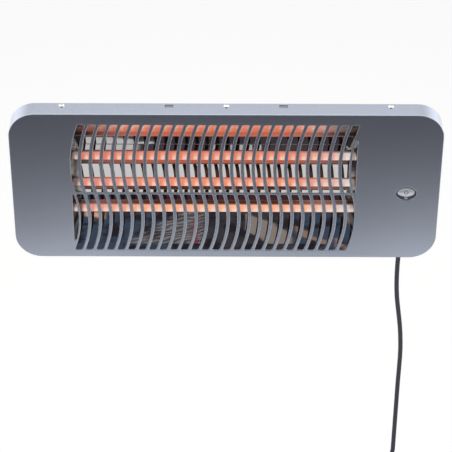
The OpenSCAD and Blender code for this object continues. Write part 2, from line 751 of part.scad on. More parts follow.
module plug_body() color([0.12, 0.12, 0.14]) at_plug() difference() {
    rotate_extrude() polygon(concat([[0, 0], [cord_d / 2 + 1.5, 0],
        [8.5, -plug_neck_len]],
        arc(plug_d / 2 - 6, -plug_neck_len - 6, 6, 90, 0, 5),
        [[plug_d / 2, -plug_neck_len - plug_len], [0, -plug_neck_len - plug_len]]));
    // grooves for the socket's guide ribs and earth springs
    for (s = [-1, 1]) {
        translate([s * plug_d / 2, 0, -plug_neck_len - plug_len])
            cube([5, 5, 2 * (plug_len - 10)], center = true);
        translate([0, s * plug_d / 2, -plug_neck_len - plug_len])
            cube([9, 4, 2 * (plug_len - 14)], center = true);
        translate([s * pin_spacing / 2, 0, -plug_neck_len - plug_len])
            cylinder(r = pin_r + run_gap, h = 24, center = true);
    }
}

module plug_pins() color("silver") at_plug()
    for (s = [-1, 1])
        translate([s * pin_spacing / 2, 0, -plug_neck_len - plug_len - pin_len]) {
            translate([0, 0, pin_r]) cylinder(r = pin_r, h = pin_len + 12 - pin_r);
            translate([0, 0, pin_r]) sphere(r = pin_r);
        }

// ---------------------------------------------------------------- wall bracket and hinge

// Extrudes an outline drawn as [Y, Z] outwards from x on one side
module plate_x(side, x, t) translate([side > 0 ? x : -x - t, 0, 0]) rotate([90, 0, 90])
    linear_extrude(t) children();

// Places children on the pivot axis, pointing outwards from x on one side
module on_pivot(side, x) translate([side * x, -pivot_off, 0]) rotate([0, 90 * side, 0]) children();

module wall_bracket() color("darkgray") difference() {
    union() {
        translate([-bracket_w / 2, -bracket_t, -plate_h / 2])
            cube([bracket_w, bracket_t, plate_h]);
        for (side = [-1, 1])
            plate_x(side, bracket_w / 2 - bracket_t, bracket_t)
                polygon(concat([[0, -plate_h / 2], [0, plate_h / 2]],
                    arc(-pivot_off, 0, ear_r, 60, 300, 16)));
    }
    for (side = [-1, 1]) {
        on_pivot(side, bracket_w / 2 - bracket_t - cut)
            cylinder(d = bolt_d + 2 * run_gap, h = bracket_t + 2 * cut);
        translate([side * hole_spacing / 2, cut, 0]) rotate([90, 0, 0])
            cylinder(d = hole_d, h = bracket_t + 2 * cut);
    }
}

module pivot_bolts() color("silver")
    for (side = [-1, 1]) on_pivot(side, bracket_w / 2 - bracket_t) {
        cylinder(d = bolt_d, h = knob_x + knob_len - 3 - (bracket_w / 2 - bracket_t));
        translate([0, 0, -3.5]) cylinder(r = bolt_d, h = 3.5, $fn = 6);
    }

module friction_washers() color("black")
    for (side = [-1, 1]) on_pivot(side, bracket_w / 2) difference() {
        cylinder(r = washer_r, h = washer_t);
        translate([0, 0, -cut]) cylinder(d = bolt_d + 2 * run_gap, h = washer_t + 2 * cut);
    }

// A steel angle: an upright on the pivot and a foot on the housing's back
module hinge_lug(side) color("darkgray") difference() {
    back = -pivot_off - pivot_gap;
    union() {
        plate_x(side, lug_x, bracket_t)
            polygon(concat([[back, lug_half], [back, -lug_half]],
                arc(-pivot_off, 0, lug_r, -60, 60, 10)));
        translate([side > 0 ? lug_x : -lug_x - lug_foot, back, -lug_half])
            cube([lug_foot, bracket_t, 2 * lug_half]);
    }
    on_pivot(side, lug_x - cut) cylinder(d = bolt_d + 2 * run_gap, h = bracket_t + 2 * cut);
    face_frame() at_lug_screws() screw_hole();
}

module hinge_lug_left() hinge_lug(-1);
module hinge_lug_right() hinge_lug(1);

// In the face's frame: screws through the lugs' feet into the housing's back
module at_lug_screws()
    for (side = [-1, 1], z = [-lug_screw_z, lug_screw_z])
        translate([side * (lug_x + lug_foot - 6), z, -body_depth - bracket_t])
            rotate([180, 0, 0]) children();

module lug_screws() color("silver") face_frame()
    at_lug_screws() pan_screw(bracket_t + housing_t + 2);

// A round knob with finger flutes and a blind bore for the bolt
module knob(side) color("black") on_pivot(side, knob_x) difference() {
    rotate_extrude() polygon([[0, 0], [7, 0], [8, 2], [knob_d / 2, 2.5],
        [knob_d / 2, knob_len - 2], [knob_d / 2 - 2, knob_len], [0, knob_len]]);
    for (a = [0:45:315]) rotate([0, 0, a]) translate([knob_d / 2 + 2, 0, -cut])
        cylinder(r = 3, h = knob_len + 2 * cut);
    translate([0, 0, -cut]) cylinder(d = bolt_d + 2 * run_gap, h = knob_len - 2.5 + cut);
}

module knob_left() knob(-1);
module knob_right() knob(1);

wall_bracket();
pivot_bolts();
friction_washers();
knob_left();
knob_right();
hinge_lug_left();
hinge_lug_right();
lug_screws();
front_cover();
cover_screws();
rear_housing();
reflector();
reflector_cheek_left();
reflector_cheek_right();
quartz_tube(0);  // quartz_tube_top
quartz_tube(1);  // quartz_tube_middle
quartz_tube(2);  // quartz_tube_bottom
heating_wire(0);  // heating_wire_top
heating_wire(1);  // heating_wire_middle
heating_wire(2);  // heating_wire_bottom
end_cap(0, -1);  // end_cap_top_left
end_cap(1, -1);  // end_cap_middle_left
end_cap(2, -1);  // end_cap_bottom_left
end_cap(0, 1);  // end_cap_top_right
end_cap(1, 1);  // end_cap_middle_right
end_cap(2, 1);  // end_cap_bottom_right
tube_bracket_left();
tube_bracket_right();
bracket_screws();
push_button();
button_bezel();
push_switch();
terminal_block();
thermal_cutout();
link_wires();
lead_wires();
earth_screw();
cable_clamp();
strain_relief();
supply_tail();
cord();
cord_coil();
cord_tie();
plug_body();
plug_pins();
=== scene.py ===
"""Dresses a wall-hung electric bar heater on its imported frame."""

import math

import bmesh
import bpy
from bpy.props import FloatProperty, FloatVectorProperty, IntProperty, PointerProperty
from bpy.types import Operator, Panel, PropertyGroup
from mathutils import Matrix, Vector


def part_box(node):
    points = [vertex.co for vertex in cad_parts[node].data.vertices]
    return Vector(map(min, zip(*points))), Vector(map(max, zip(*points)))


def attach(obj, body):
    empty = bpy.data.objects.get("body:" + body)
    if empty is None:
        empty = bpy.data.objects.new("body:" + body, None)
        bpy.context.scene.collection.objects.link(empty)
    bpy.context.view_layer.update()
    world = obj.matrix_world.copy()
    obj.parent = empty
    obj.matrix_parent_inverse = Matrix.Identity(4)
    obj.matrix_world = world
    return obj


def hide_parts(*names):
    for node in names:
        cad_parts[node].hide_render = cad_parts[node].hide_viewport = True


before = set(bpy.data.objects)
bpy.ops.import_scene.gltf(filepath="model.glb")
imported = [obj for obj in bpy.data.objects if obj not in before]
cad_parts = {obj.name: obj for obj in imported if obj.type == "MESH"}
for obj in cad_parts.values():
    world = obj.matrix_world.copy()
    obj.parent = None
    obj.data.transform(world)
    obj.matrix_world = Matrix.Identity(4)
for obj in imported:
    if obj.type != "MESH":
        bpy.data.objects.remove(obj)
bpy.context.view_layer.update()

bl_info = {
    "name": "Electric Bar Heater",
    "version": (1, 0, 0),
    "blender": (4, 5, 0),
    "location": "View3D > Sidebar > Heater",
    "description": "Dresses the heater's frame with its cover, finishes, cord and stage",
    "category": "Object",
}

FACE_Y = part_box("front_cover")[0].y
ROWS, SIDES = ("top", "middle", "bottom"), ("left", "right")
BAR_PITCH = 0.01535  # from one bar to the next, and from one painted pale band of light on a tube to the next
TUBE_LEFT, TUBE_RIGHT = -0.226, 0.192
WINDOW_WIDTH, WINDOW_HEIGHT = 0.012, 0.007
HEAD_RADIUS, HEAD_HEIGHT = 0.004, 0.0022  # of a pan-head screw
CORD_Y, COIL_X, COIL_Z = -0.084, 0.270, -0.620
METAL = {"Metallic": 1.0}
WHITE = (1.0, 1.0, 1.0)


# ---------------------------------------------------------------- settings

def number(label, text, default, **more):
    return FloatProperty(name=label, description=text, default=default, precision=5, **more)


def place(label, text, default, **more):
    return number(label, text, default, unit="LENGTH", subtype="DISTANCE", **more)


def length(label, text, default):
    return place(label, text, default, min=0.0)


def angle(label, text, degrees):
    return number(label, text, math.radians(degrees), unit="ROTATION", subtype="ANGLE")


def power(label, text, watts):
    return number(label, text, watts, min=0.0, unit="POWER")


def colour(label, text, default):
    return FloatVectorProperty(name=label, description=text, default=default, size=3,
                               min=0.0, max=1.0, subtype="COLOR")


class HeaterCover(PropertyGroup):
    width: length("Width", "Width of the front cover", 0.610)
    height: length("Height", "Height of the front cover", 0.250)
    corner: length("Corner radius", "Radius of the cover's four corners", 0.038)
    rim: length("Rim depth", "Depth of the rim behind the face", 0.029)
    sheet: length("Sheet", "Thickness of the cover's steel", 0.0015)
    edge: length("Edge rounding", "Rounding between the face and the rim", 0.0016)
    lip: length("Slot lip", "Rounding of the slots' pressed edges", 0.0011)
    screw_x: length("Screw spacing", "Distance of the outer cover screws from the middle", 0.230)
    screw_depth: length("Screw depth", "Depth of the cover screws behind the face", 0.022)
    window_x: length("Window spacing", "Distance of the rim's windows from the middle", 0.080)
    window_depth: length("Window depth", "Depth of the windows' middle behind the face", 0.0218)


class HeaterGrille(PropertyGroup):
    bars: IntProperty(name="Bars", description="Bars in a row, with the short one at each end",
                      default=27, min=3)
    pitch: length("Pitch", "Distance from one bar to the next", BAR_PITCH)
    bar: length("Bar width", "Width of a bar", 0.0053)
    end_bar: length("End bar width", "Width of the short bar that closes a row", 0.0034)
    crossbar: length("Crossbar width", "Width of the crossbar between the rows", 0.0035)
    crossbar_z: place("Crossbar height", "Height of the crossbar above the middle", -0.0105)
    first_x: place("First bar", "Where the first bar crosses the crossbar", -0.2173)
    above: length("Top margin", "Bare face above the grille", 0.0178)
    below: length("Bottom margin", "Bare face below the grille", 0.0135)
    upper_radius: length("Upper bow radius", "Radius of the bars' bow in the upper row", 0.205)
    upper_rise: length("Upper bow rise", "Height of the upper bow's middle", 0.0465)
    lower_radius: length("Lower bow radius", "Radius of the bars' bow in the lower row", 0.160)
    lower_drop: length("Lower bow drop", "Depth of the lower bow's middle", 0.0435)
    corner: length("Slot corner", "Rounding of the slots' corners", 0.002)
    sliver_corner: length("Sliver corner", "Rounding of the end slivers' corners", 0.0008)
    sliver_inset: length("Sliver inset", "From the end slots' widest point to the slivers", 0.0005)
    sliver_tip: length("Sliver tip", "Width at which a sliver's tip closes", 0.0024)


class HeaterButton(PropertyGroup):
    x: place("Sideways place", "Sideways place of the button", 0.2575)
    z: place("Height place", "Height of the button above the middle", -0.0094)
    width: length("Width", "Width of the button", 0.0255)
    height: length("Height", "Height of the button", 0.0175)
    hole_width: length("Hole width", "Width of the oval hole", 0.029)
    hole_height: length("Hole height", "Height of the oval hole", 0.0225)
    sink: length("Sink", "How far the button lies behind the face", 0.0017)
    rise: length("Rise", "How far the button's front sits above the hole's middle", 0.0008)


class HeaterCord(PropertyGroup):
    diameter: length("Diameter", "Diameter of the cord", 0.007)
    coil_radius: length("Coil radius", "Radius of the coil's outer turn", 0.0485)
    coil_step: length("Coil step", "From one turn to the next", 0.0076)
    entry_radius: length("Entry bend", "Radius of the bend into the coil", 0.032)
    plug_tail: length("Plug tail", "Straight cord from the coil to the plug", 0.040)


class HeaterFinish(PropertyGroup):
    paint: colour("Cover paint", "Satin metallic grey of the front cover", (0.382, 0.422, 0.508))
    # the edge colour is a painted highlight: a lighter paint along the slots' rounded lips
    edge: colour("Cover edge", "Thin paint on the slots' pressed edges", (0.42, 0.465, 0.54))
    housing: colour("Housing paint", "Powder coat of the rear housing", (0.30, 0.31, 0.34))
    # the back sides' glow is deeper and dimmer than the front's: painted shade
    tube: colour("Tube glow", "Glow of the quartz tubes' back sides", (0.60, 0.14, 0.075))
    # the tube ends' milky colour is emitted, as painted light
    tube_end: colour("Tube ends", "Milky quartz where the wire ends", (0.62, 0.58, 0.58))
    cord: colour("Cord", "Sheath of the mains cord", (0.042, 0.045, 0.064))
    button: colour("Button", "Silver coat of the button", (0.86, 0.90, 1.0))


class HeaterStage(PropertyGroup):
    distance: length("Camera distance", "From the face's middle to the camera", 2.853)
    elevation: angle("Elevation", "Camera angle above the level", 36.0)
    azimuth: angle("Azimuth", "Camera angle to the side", -0.18)
    roll: angle("Roll", "Camera roll", 0.29)
    dip: angle("Dip", "How far below the face's middle it aims", 1.0874)
    lens: number("Lens", "Focal length of the camera", 159.45, unit="CAMERA")
    floor_z: place("Floor height", "Height of the floor", -0.760)
    floor_front: place("Floor front", "Front edge of the pale floor", -1.175)
    top_lamp: power("Top lamp", "Power of the lamp above and behind", 7.0)
    front_lamp: power("Front lamp", "Power of the low strip in front", 0.6)
    ambient: number("Ambient", "Strength of the room's soft light", 0.45, min=0.0)


# ---------------------------------------------------------------- shader nodes

class Value:
    """A node's output. Its operators add Math nodes, so shader maths reads as an expression."""

    def __init__(self, nodes, socket):
        self.nodes = nodes
        self.socket = socket

    def out(self, name):
        return Value(self.nodes, self.socket.node.outputs[name])

    def _math(self, operation, first, second):
        return self.nodes.add("Math", {"operation": operation}, {0: first, 1: second})

    def __add__(self, other):
        return self._math("ADD", self, other)

    __radd__ = __add__

    def __sub__(self, other):
        return self._math("SUBTRACT", self, other)

    def __rsub__(self, other):
        return self._math("SUBTRACT", other, self)

    def __mul__(self, other):
        return self._math("MULTIPLY", self, other)

    __rmul__ = __mul__


class Nodes:
    """The nodes of one material or of the world."""

    def __init__(self, tree):
        self.tree = tree
        tree.nodes.clear()

    def add(self, kind, settings=None, values=None, output=0):
        """Adds a node: its settings first, then the values or links of its sockets."""
        node = self.tree.nodes.new("ShaderNode" + kind)
        for name, setting in (settings or {}).items():
            if name == "stops":
                ramp = node.color_ramp
                while len(ramp.elements) < len(setting):
                    ramp.elements.new(1.0)
                for element, (position, shade) in zip(ramp.elements, setting):
                    element.position = position
                    element.color = (*shade, 1.0)
            else:
                setattr(node, name, setting)
        for key, value in (values or {}).items():
            socket = node.inputs[key]
            if isinstance(value, Value):
                self.tree.links.new(value.socket, socket)
            elif hasattr(value, "__len__") and len(value) == 3 and socket.type == "RGBA":
                socket.default_value = (*value, 1.0)
            else:
                socket.default_value = value
        return Value(self, node.outputs[output] if node.outputs else None)

    def at(self):
        return self.add("TexCoord", output="Object")

    def axes(self, vector):
        """A vector's X. Its out() gives the vector's Y and Z."""
        return self.add("SeparateXYZ", None, {0: vector})

    def wave(self, operation, value):
        return self.add("Math", {"operation": operation}, {0: value})

    def stretched(self, where, x, y, z):
        return self.add("VectorMath", {"operation": "MULTIPLY"}, {0: where, 1: (x, y, z)})

    def noise(self, where, scale, detail=2.0, roughness=0.5):
        return self.add("TexNoise", None, {"Vector": where, "Scale": scale, "Detail": detail,
                                           "Roughness": roughness})

    def spread(self, value, low, high, to_low=0.0, to_high=1.0):
        """Maps low to high onto another range, smoothly and held at its ends."""
        return self.add("MapRange", {"interpolation_type": "SMOOTHSTEP"},
                        {0: value, 1: low, 2: high, 3: to_low, 4: to_high})

    def fall(self, value, low, high):
        return self.spread(value, low, high, 1.0, 0.0)

    def within(self, value, start, full, still, end):
        """1 from full to still, and 0 below start and above end."""
        return self.spread(value, start, full) * self.fall(value, still, end)

    def mix(self, factor, first, second, blend="MIX"):
        return self.add("Mix", {"data_type": "RGBA", "blend_type": blend},
                        {0: factor, 6: first, 7: second}, 2)

    def ramp(self, factor, *stops):
        return self.add("ValToRGB", {"stops": stops}, {0: factor})

    def surface(self, colour, roughness, relief, more=()):
        """The surface's shader. Its relief is a height, that height's depth and its strength."""
        height, depth, strength = relief
        bump = self.add("Bump", None, {"Height": height, "Distance": depth, "Strength": strength})
        shader = self.add("BsdfPrincipled", None, {"Base Color": colour, "Roughness": roughness,
                                                   "Normal": bump, **dict(more)})
        self.add("OutputMaterial", None, {"Surface": shader})


def shades(base, dark, light):
    """A darker and a lighter shade of a colour."""
    return tuple(c * dark for c in base), tuple(min(1.0, c * light) for c in base)


# ---------------------------------------------------------------- finishes

# Each takes the material's nodes, the place on the object and the finish settings.

def cover_paint(n, at, finish):
    grain, flake, cloud = n.noise(at, 1500.0), n.noise(at, 620.0, 1.0), n.noise(at, 14.0, 3.0)
    # edge marks the slots' rounded lips, which take the lighter edge colour as a painted highlight
    edge = n.add("Attribute", {"attribute_name": "edge"}, output="Fac")
    # inside marks the sheet's back and the rim's inner face, which turn near black as painted shade
    inside = n.add("Attribute", {"attribute_name": "inside"}, output="Fac")
    tone = 0.6 * grain + 0.25 * flake + 0.15 * cloud
    coat = n.mix(edge, n.mix(tone, *shades(finish.paint, 0.90, 1.10)), finish.edge)
    # painted shade: near black on the back, fading in along the slot walls towards it
    n.surface(n.mix(inside, coat, (0.075, 0.070, 0.080)), 0.19 + 0.10 * grain,
              (grain, 0.00003, 0.35), {"Metallic": 0.82})


def coated(base, dark, light, fine, broad, share, rough, uneven, depth):
    """A coat with a fine grain, and with broad unevenness in its colour and gloss.
    Its base is a colour or the name of one among the finish settings."""
    def build(n, at, finish):
        grain, rub = n.noise(at, *fine), n.noise(at, broad, 4.0, 0.6)
        colour = getattr(finish, base) if isinstance(base, str) else base
        n.surface(n.mix(share * grain + (1.0 - share) * rub, *shades(colour, dark, light)),
                  rough + uneven * rub, (grain, depth, 0.5))
    return build


def powder_coat(base):
    return coated(base, 0.82, 1.16, (900.0, 3.0), 22.0, 0.5, 0.46, 0.2, 0.00008)


def moulded(base, rough, grain_size=1300.0, depth=0.00005, lift=1.35):
    """Moulded plastic or rubber with a fine die texture and slightly uneven gloss."""
    return coated(base, 0.85, lift, (grain_size, 2.0), 45.0, 0.35, rough - 0.08, 0.16, depth)


def bright_steel(n, at, finish):
    wear = n.noise(at, 260.0, 4.0, 0.65)
    n.surface(n.mix(wear, (0.62, 0.62, 0.64), (0.86, 0.86, 0.87)), 0.16 + 0.22 * wear,
              (n.noise(at, 2200.0), 0.00002, 0.4), METAL)


def zinc_steel(n, at, finish):
    cell = n.axes(n.add("TexVoronoi", {"feature": "F1"}, {"Vector": at, "Scale": 190.0}, "Color"))
    haze = n.noise(at, 60.0, 3.0)
    n.surface(n.mix(0.7 * cell + 0.3 * haze, (0.50, 0.52, 0.54), (0.74, 0.75, 0.76)),
              0.26 + 0.18 * cell, (haze, 0.00005, 0.3), METAL)


def mirror_aluminium(n, at, finish):
    """Bright rolled sheet, painted dark at the two ends of its upper wall as a painted dark reflection.
    """
    rolled = n.noise(n.stretched(at, 900.0, 30.0, 30.0), 1.0)
    wavy = n.noise(n.stretched(at, 9.0, 22.0, 22.0), 1.0)
    smear = n.noise(at, 38.0, 4.0, 0.6)
    x = n.axes(at)
    # painted dark reflection at the two ends of the upper wall
    painted_dark_ends = n.spread(x.out("Z"), 0.074, 0.080) * (n.fall(x, -0.215, -0.135) + n.spread(x, 0.118, 0.172))
    sheet = n.mix(0.6 * smear + 0.4 * rolled, (0.80, 0.80, 0.81), (0.90, 0.90, 0.91))
    n.surface(n.mix(painted_dark_ends, sheet, (0.14, 0.10, 0.09)), 0.006 + 0.014 * smear,
              (wavy + 0.01 * rolled, 0.0003, 0.12), METAL)


def tinted_aluminium(n, at, finish):
    """The mirror sheet of the end cheeks, with brown and dark blue patches painted on as painted
    reflections.
    """
    # painted reflections: a noise ramp lays brown and dark blue patches over the cheeks
    tint = n.noise(n.stretched(at, 30.0, 30.0, 75.0), 1.0, 2.0, 0.4)
    haze = n.noise(at, 420.0, 3.0)
    shade = n.ramp(tint, (0.0, (0.10, 0.085, 0.09)), (0.42, (0.035, 0.035, 0.055)),
                   (0.50, (0.12, 0.09, 0.075)), (0.60, (0.20, 0.15, 0.125)), (1.0, (0.30, 0.25, 0.22)))
    n.surface(shade, 0.08 + 0.08 * haze, (haze, 0.00002, 0.3), METAL)


def quartz(front, left, back, first_band):
    """Glowing milky quartz: paler in front, deeper behind and near black under its back as painted
    shade, unlit at its two ends, whose pale milky glow is painted light, and with pale bands a bar
    apart, painted light falling between the bars."""
    def build(n, at, finish):
        x = n.axes(at)
        facing = n.axes(n.add("NewGeometry", output="Normal"))
        streak = n.noise(n.stretched(at, 420.0, 30.0, 30.0), 1.0, 3.0, 0.6)
        cloud = n.noise(n.stretched(at, 75.0, 20.0, 20.0), 1.0, 1.0)
        blush = tuple(c * 0.55 + pale * 0.45 for c, pale in zip(front, finish.tube_end))
        # back dims each tube's back glow as painted shade
        deepest = tuple(c * back for c in finish.tube)
        along = n.add("MapRange", None, {0: x, 1: TUBE_LEFT, 2: TUBE_RIGHT})
        # painted light: the ramp's two ends give the unlit tube ends a pale milky glow
        glow = n.ramp(along, (0.0, (0.30, 0.24, 0.23)), (0.020, (0.16, 0.12, 0.12)),
                      (0.040, (0.07, 0.05, 0.05)), (0.052, left), (0.30, front), (0.78, front),
                      (0.905, blush), (0.95, finish.tube_end), (0.962, finish.tube_end),
                      (0.975, (0.20, 0.17, 0.15)))
        deep = n.ramp(along, (0.0, (0.05, 0.035, 0.03)), (0.065, (0.09, 0.06, 0.05)),
                      (0.085, (0.26, 0.095, 0.075)), (0.28, deepest), (0.76, deepest),
                      (0.87, (0.36, 0.14, 0.10)), (0.94, (0.13, 0.085, 0.07)),
                      (1.0, (0.06, 0.05, 0.04)))
        # painted light: pale bands a bar's pitch apart, where light falls in between the bars,
        # strongest on level-facing sides
        band = n.wave("COSINE", (x - first_band) * (math.tau / BAR_PITCH))
        painted_pale_bands = (n.spread(0.55 * band + 1.6 * cloud, 0.35, 1.30)
                 * n.spread(facing.out("Z"), 0.85, 0.10, 0.22, 0.66))
        # painted shade: the back's glow turns near black where it faces down
        behind = n.mix(n.spread(facing.out("Z"), -0.55, 0.05), (0.05, 0.018, 0.014), deep)
        ahead = n.mix(painted_pale_bands, glow, (0.95, 0.74, 0.64))
        # painted shade: the back half glows deeper and dimmer than the front
        skin = n.mix(n.spread(facing.out("Y"), -0.45, 0.10), ahead, behind)
        lit = n.mix(streak, (0.86, 0.85, 0.84), WHITE)
        n.surface(n.mix(streak, (0.10, 0.07, 0.06), (0.18, 0.13, 0.12)), 0.14 + 0.14 * cloud,
                  (streak, 0.00003, 0.4), {"Emission Color": n.mix(1.0, skin, lit, "MULTIPLY"),
                                           "Emission Strength": 1.0})
    return build


def heating_wire(n, at, finish):
    turns = n.add("TexWave", {"wave_type": "BANDS", "bands_direction": "X"},
                  {"Vector": at, "Scale": 160.0, "Distortion": 0.4})
    scale = n.noise(at, 500.0, 3.0)
    glow = n.mix(turns, (0.2, 0.03, 0.01), (1.0, 0.3, 0.1))
    n.surface(n.mix(turns, (0.16, 0.09, 0.07), (0.52, 0.30, 0.20)), 0.45 + 0.2 * scale,
              (turns, 0.0004, 0.8), {"Metallic": 0.7, "Emission Color": glow, "Emission Strength": 0.6})


def ceramic(n, at, finish):
    grain, stain = n.noise(at, 1100.0, 3.0), n.noise(at, 90.0, 4.0, 0.6)
    n.surface(n.mix(0.3 * grain + 0.7 * stain, (0.70, 0.66, 0.58), (0.90, 0.87, 0.81)),
              0.55 + 0.2 * grain, (grain, 0.00006, 0.5))


def button_silver(n, at, finish):
    grain, rub = n.noise(at, 1800.0), n.noise(at, 160.0, 3.0)
    n.surface(n.mix(0.5 * grain + 0.5 * rub, *shades(finish.button, 0.90, 1.10)), 0.24 + 0.12 * rub,
              (grain, 0.00002, 0.3), {"Metallic": 0.8, "Coat Weight": 0.3 + 0.2 * rub})


def wire_sleeve(n, at, finish):
    braid = n.add("TexChecker", None, {"Vector": at, "Scale": 1400.0, "Color1": (0.72, 0.68, 0.58),
                                       "Color2": (0.50, 0.46, 0.38)})
    fuzz = n.noise(at, 700.0, 4.0)
    n.surface(n.mix(0.4 * fuzz, braid, (0.8, 0.77, 0.7)), 0.75 + 0.2 * fuzz, (fuzz, 0.0001, 0.6))


def brass(n, at, finish):
    tarnish = n.noise(at, 300.0, 4.0, 0.6)
    n.surface(n.mix(tarnish, (0.52, 0.38, 0.15), (0.82, 0.66, 0.34)), 0.22 + 0.25 * tarnish,
              (tarnish, 0.00002, 0.3), METAL)


def nickel(n, at, finish):
    drawn = n.noise(n.stretched(at, 2500.0, 2500.0, 60.0), 1.0)
    n.surface(n.mix(n.noise(at, 200.0, 4.0, 0.6), (0.66, 0.65, 0.62), (0.84, 0.83, 0.80)),
              0.12 + 0.14 * drawn, (drawn, 0.00001, 0.3), METAL)


FINISHES = {
    "cover_paint": cover_paint,
    "housing_paint": powder_coat("housing"),
    "bracket_paint": powder_coat((0.20, 0.205, 0.22)),
    "bright_steel": bright_steel,
    "zinc_steel": zinc_steel,
    "mirror_aluminium": mirror_aluminium,
    "tinted_aluminium": tinted_aluminium,
    # the last two numbers of a quartz: how bright its back glows, dimmed as painted shade, and where
    # its first painted pale band lies
    "quartz_top": quartz((0.80, 0.20, 0.10), (0.72, 0.18, 0.12), 1.0, -0.2115),
    "quartz_middle": quartz((0.86, 0.26, 0.15), (0.76, 0.25, 0.19), 0.9, -0.2090),
    "quartz_bottom": quartz((0.98, 0.42, 0.235), (0.70, 0.26, 0.22), 0.12, -0.2020),
    "heating_wire": heating_wire,
    "ceramic": ceramic,
    "knob_plastic": moulded((0.050, 0.050, 0.055), 0.48, 900.0, 0.00010),
    "black_plastic": moulded((0.040, 0.040, 0.045), 0.45),
    "bezel_plastic": moulded((0.175, 0.19, 0.25), 0.32, 1600.0, 0.00002),
    # a pale grey copy of the bezel plastic for the catch: a painted highlight
    "tab_grey": moulded((0.56, 0.58, 0.65), 0.35, 1600.0, 0.00002),
    "button_silver": button_silver,
    "button_ink": moulded((0.05, 0.052, 0.062), 0.40, 1600.0, 0.00002),
    "white_plastic": moulded((0.74, 0.74, 0.71), 0.42, 1200.0, 0.00004, 1.1),
    "wire_sleeve": wire_sleeve,
    "brass": brass,
    "cord_rubber": moulded("cord", 0.42, 1100.0, 0.00006),
    "tie_plastic": moulded((0.030, 0.030, 0.032), 0.38),
    "plug_rubber": moulded((0.045, 0.046, 0.055), 0.50, 1000.0, 0.00008),
    "nickel": nickel,
}


def new_material(name):
    material = bpy.data.materials.new(name)
    material.use_nodes = True
    return material, Nodes(material.node_tree)


def finish(name):
    """The material of that name, made on its first use."""
    material = bpy.data.materials.get("finish_" + name)
    if material is None:
        material, nodes = new_material("finish_" + name)
        FINISHES[name](nodes, nodes.at(), bpy.context.scene.heater_finish)
    return material


def dress(nodes, slot):
    """Gives frame nodes a finish through their own material slots."""
    for name in nodes:
        for material_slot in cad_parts[name].material_slots:
            material_slot.link = "OBJECT"
            material_slot.material = finish(slot)


# ---------------------------------------------------------------- mesh tools

def face_point(x, depth, z):
    """A point in the frame, from its place on the face and its depth behind it."""
    return Vector((x, FACE_Y + depth, z))


def arc(cx, cy, radius, start, stop, steps):
    turns = [math.radians(start + (stop - start) * i / steps) for i in range(steps + 1)]
    return [(cx + radius * math.cos(a), cy + radius * math.sin(a)) for a in turns]


def rounded_rect(width, height, radius, steps=14):
    x, y = width / 2 - radius, height / 2 - radius
    return (arc(x, y, radius, 0, 90, steps) + arc(-x, y, radius, 90, 180, steps)
            + arc(-x, -y, radius, 180, 270, steps) + arc(x, -y, radius, 270, 360, steps))


def oval(width, height, steps=72):
    turns = [math.tau * i / steps for i in range(steps)]
    return [(width / 2 * math.cos(a), height / 2 * math.sin(a)) for a in turns]


def quarter(radius, steps):
    """Insets and depths round an edge, from its full inset to none."""
    turns = [math.radians(90 * i / steps) for i in range(steps + 1)]
    return [(radius * (1 - math.sin(a)), radius * (1 - math.cos(a))) for a in turns]


def grown(loop, by):
    """A clockwise outline moved outwards along its own normals."""
    moved = []
    for i, point in enumerate(loop):
        before = (Vector(point) - Vector(loop[i - 1])).normalized()
        after = (Vector(loop[(i + 1) % len(loop)]) - Vector(point)).normalized()
        first, second = Vector((-before.y, before.x)), Vector((-after.y, after.x))
        moved.append(tuple(Vector(point) + by * (first + second) / (1 + max(-0.5, first.dot(second)))))
    return moved


def pointed(seat, way):
    """The matrix that stands a shape on its seat, with its Z along the way."""
    return Matrix.Translation(seat) @ Vector(way).to_track_quat("Z", "Y").to_matrix().to_4x4()


def loft(bm, rings, ends="filled"):
    """Faces between rings of as many points each. Its two ends are filled, open or joined."""
    made = [[bm.verts.new(p) for p in ring] for ring in rings]
    following = made[1:] + made[:1] if ends == "joined" else made[1:]
    for first, second in zip(made, following):
        count = len(first)
        for i in range(count):
            bm.faces.new((first[i], first[(i + 1) % count], second[(i + 1) % count], second[i]))
    if ends == "filled":
        bm.faces.new(list(reversed(made[0])))
        bm.faces.new(made[-1])
    return made


def lathe(bm, profile, matrix, steps=48):
    """Turns (radius, height) pairs round the matrix's Z."""
    return loft(bm, [[matrix @ Vector((x, y, h)) for x, y in oval(2 * r, 2 * r, steps)]
                     for r, h in profile])


def fill(bm, rings):
    """A flat face between an outline and the holes in it."""
    edges = [bm.edges.get((ring[i - 1], ring[i])) for ring in rings for i in range(len(ring))]
    bmesh.ops.triangle_fill(bm, use_beauty=True, use_dissolve=False, edges=edges)


def new_object(name, data):
    """An object of a bmesh or of other data, in the scene."""
    if isinstance(data, bmesh.types.BMesh):
        bm, data = data, bpy.data.meshes.new(name)
        bm.to_mesh(data)
        bm.free()
    obj = bpy.data.objects.new(name, data)
    bpy.context.collection.objects.link(obj)
    return obj


def piece(name, bm, body, slot, nodes=(), sharp=35.0, look=None):
    """Makes an object of the mesh, smooth but for its sharp edges, and hands it to the frame."""
    bmesh.ops.recalc_face_normals(bm, faces=bm.faces)
    obj = new_object(name, bm)
    shade(obj, sharp)
    obj.data.materials.append(finish(look or slot))
    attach(obj, body)
    if nodes:
        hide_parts(*nodes)
    return obj


def shade(obj, sharp):
    for polygon in obj.data.polygons:
        polygon.use_smooth = True
    obj.data.set_sharp_from_angle(angle=math.radians(sharp))


def settle(obj):
    """Applies an object's modifiers to its mesh."""
    graph = bpy.context.evaluated_depsgraph_get()
    mesh = bpy.data.meshes.new_from_object(obj.evaluated_get(graph))
    obj.modifiers.clear()
    old, obj.data = obj.data, mesh
    bpy.data.meshes.remove(old)


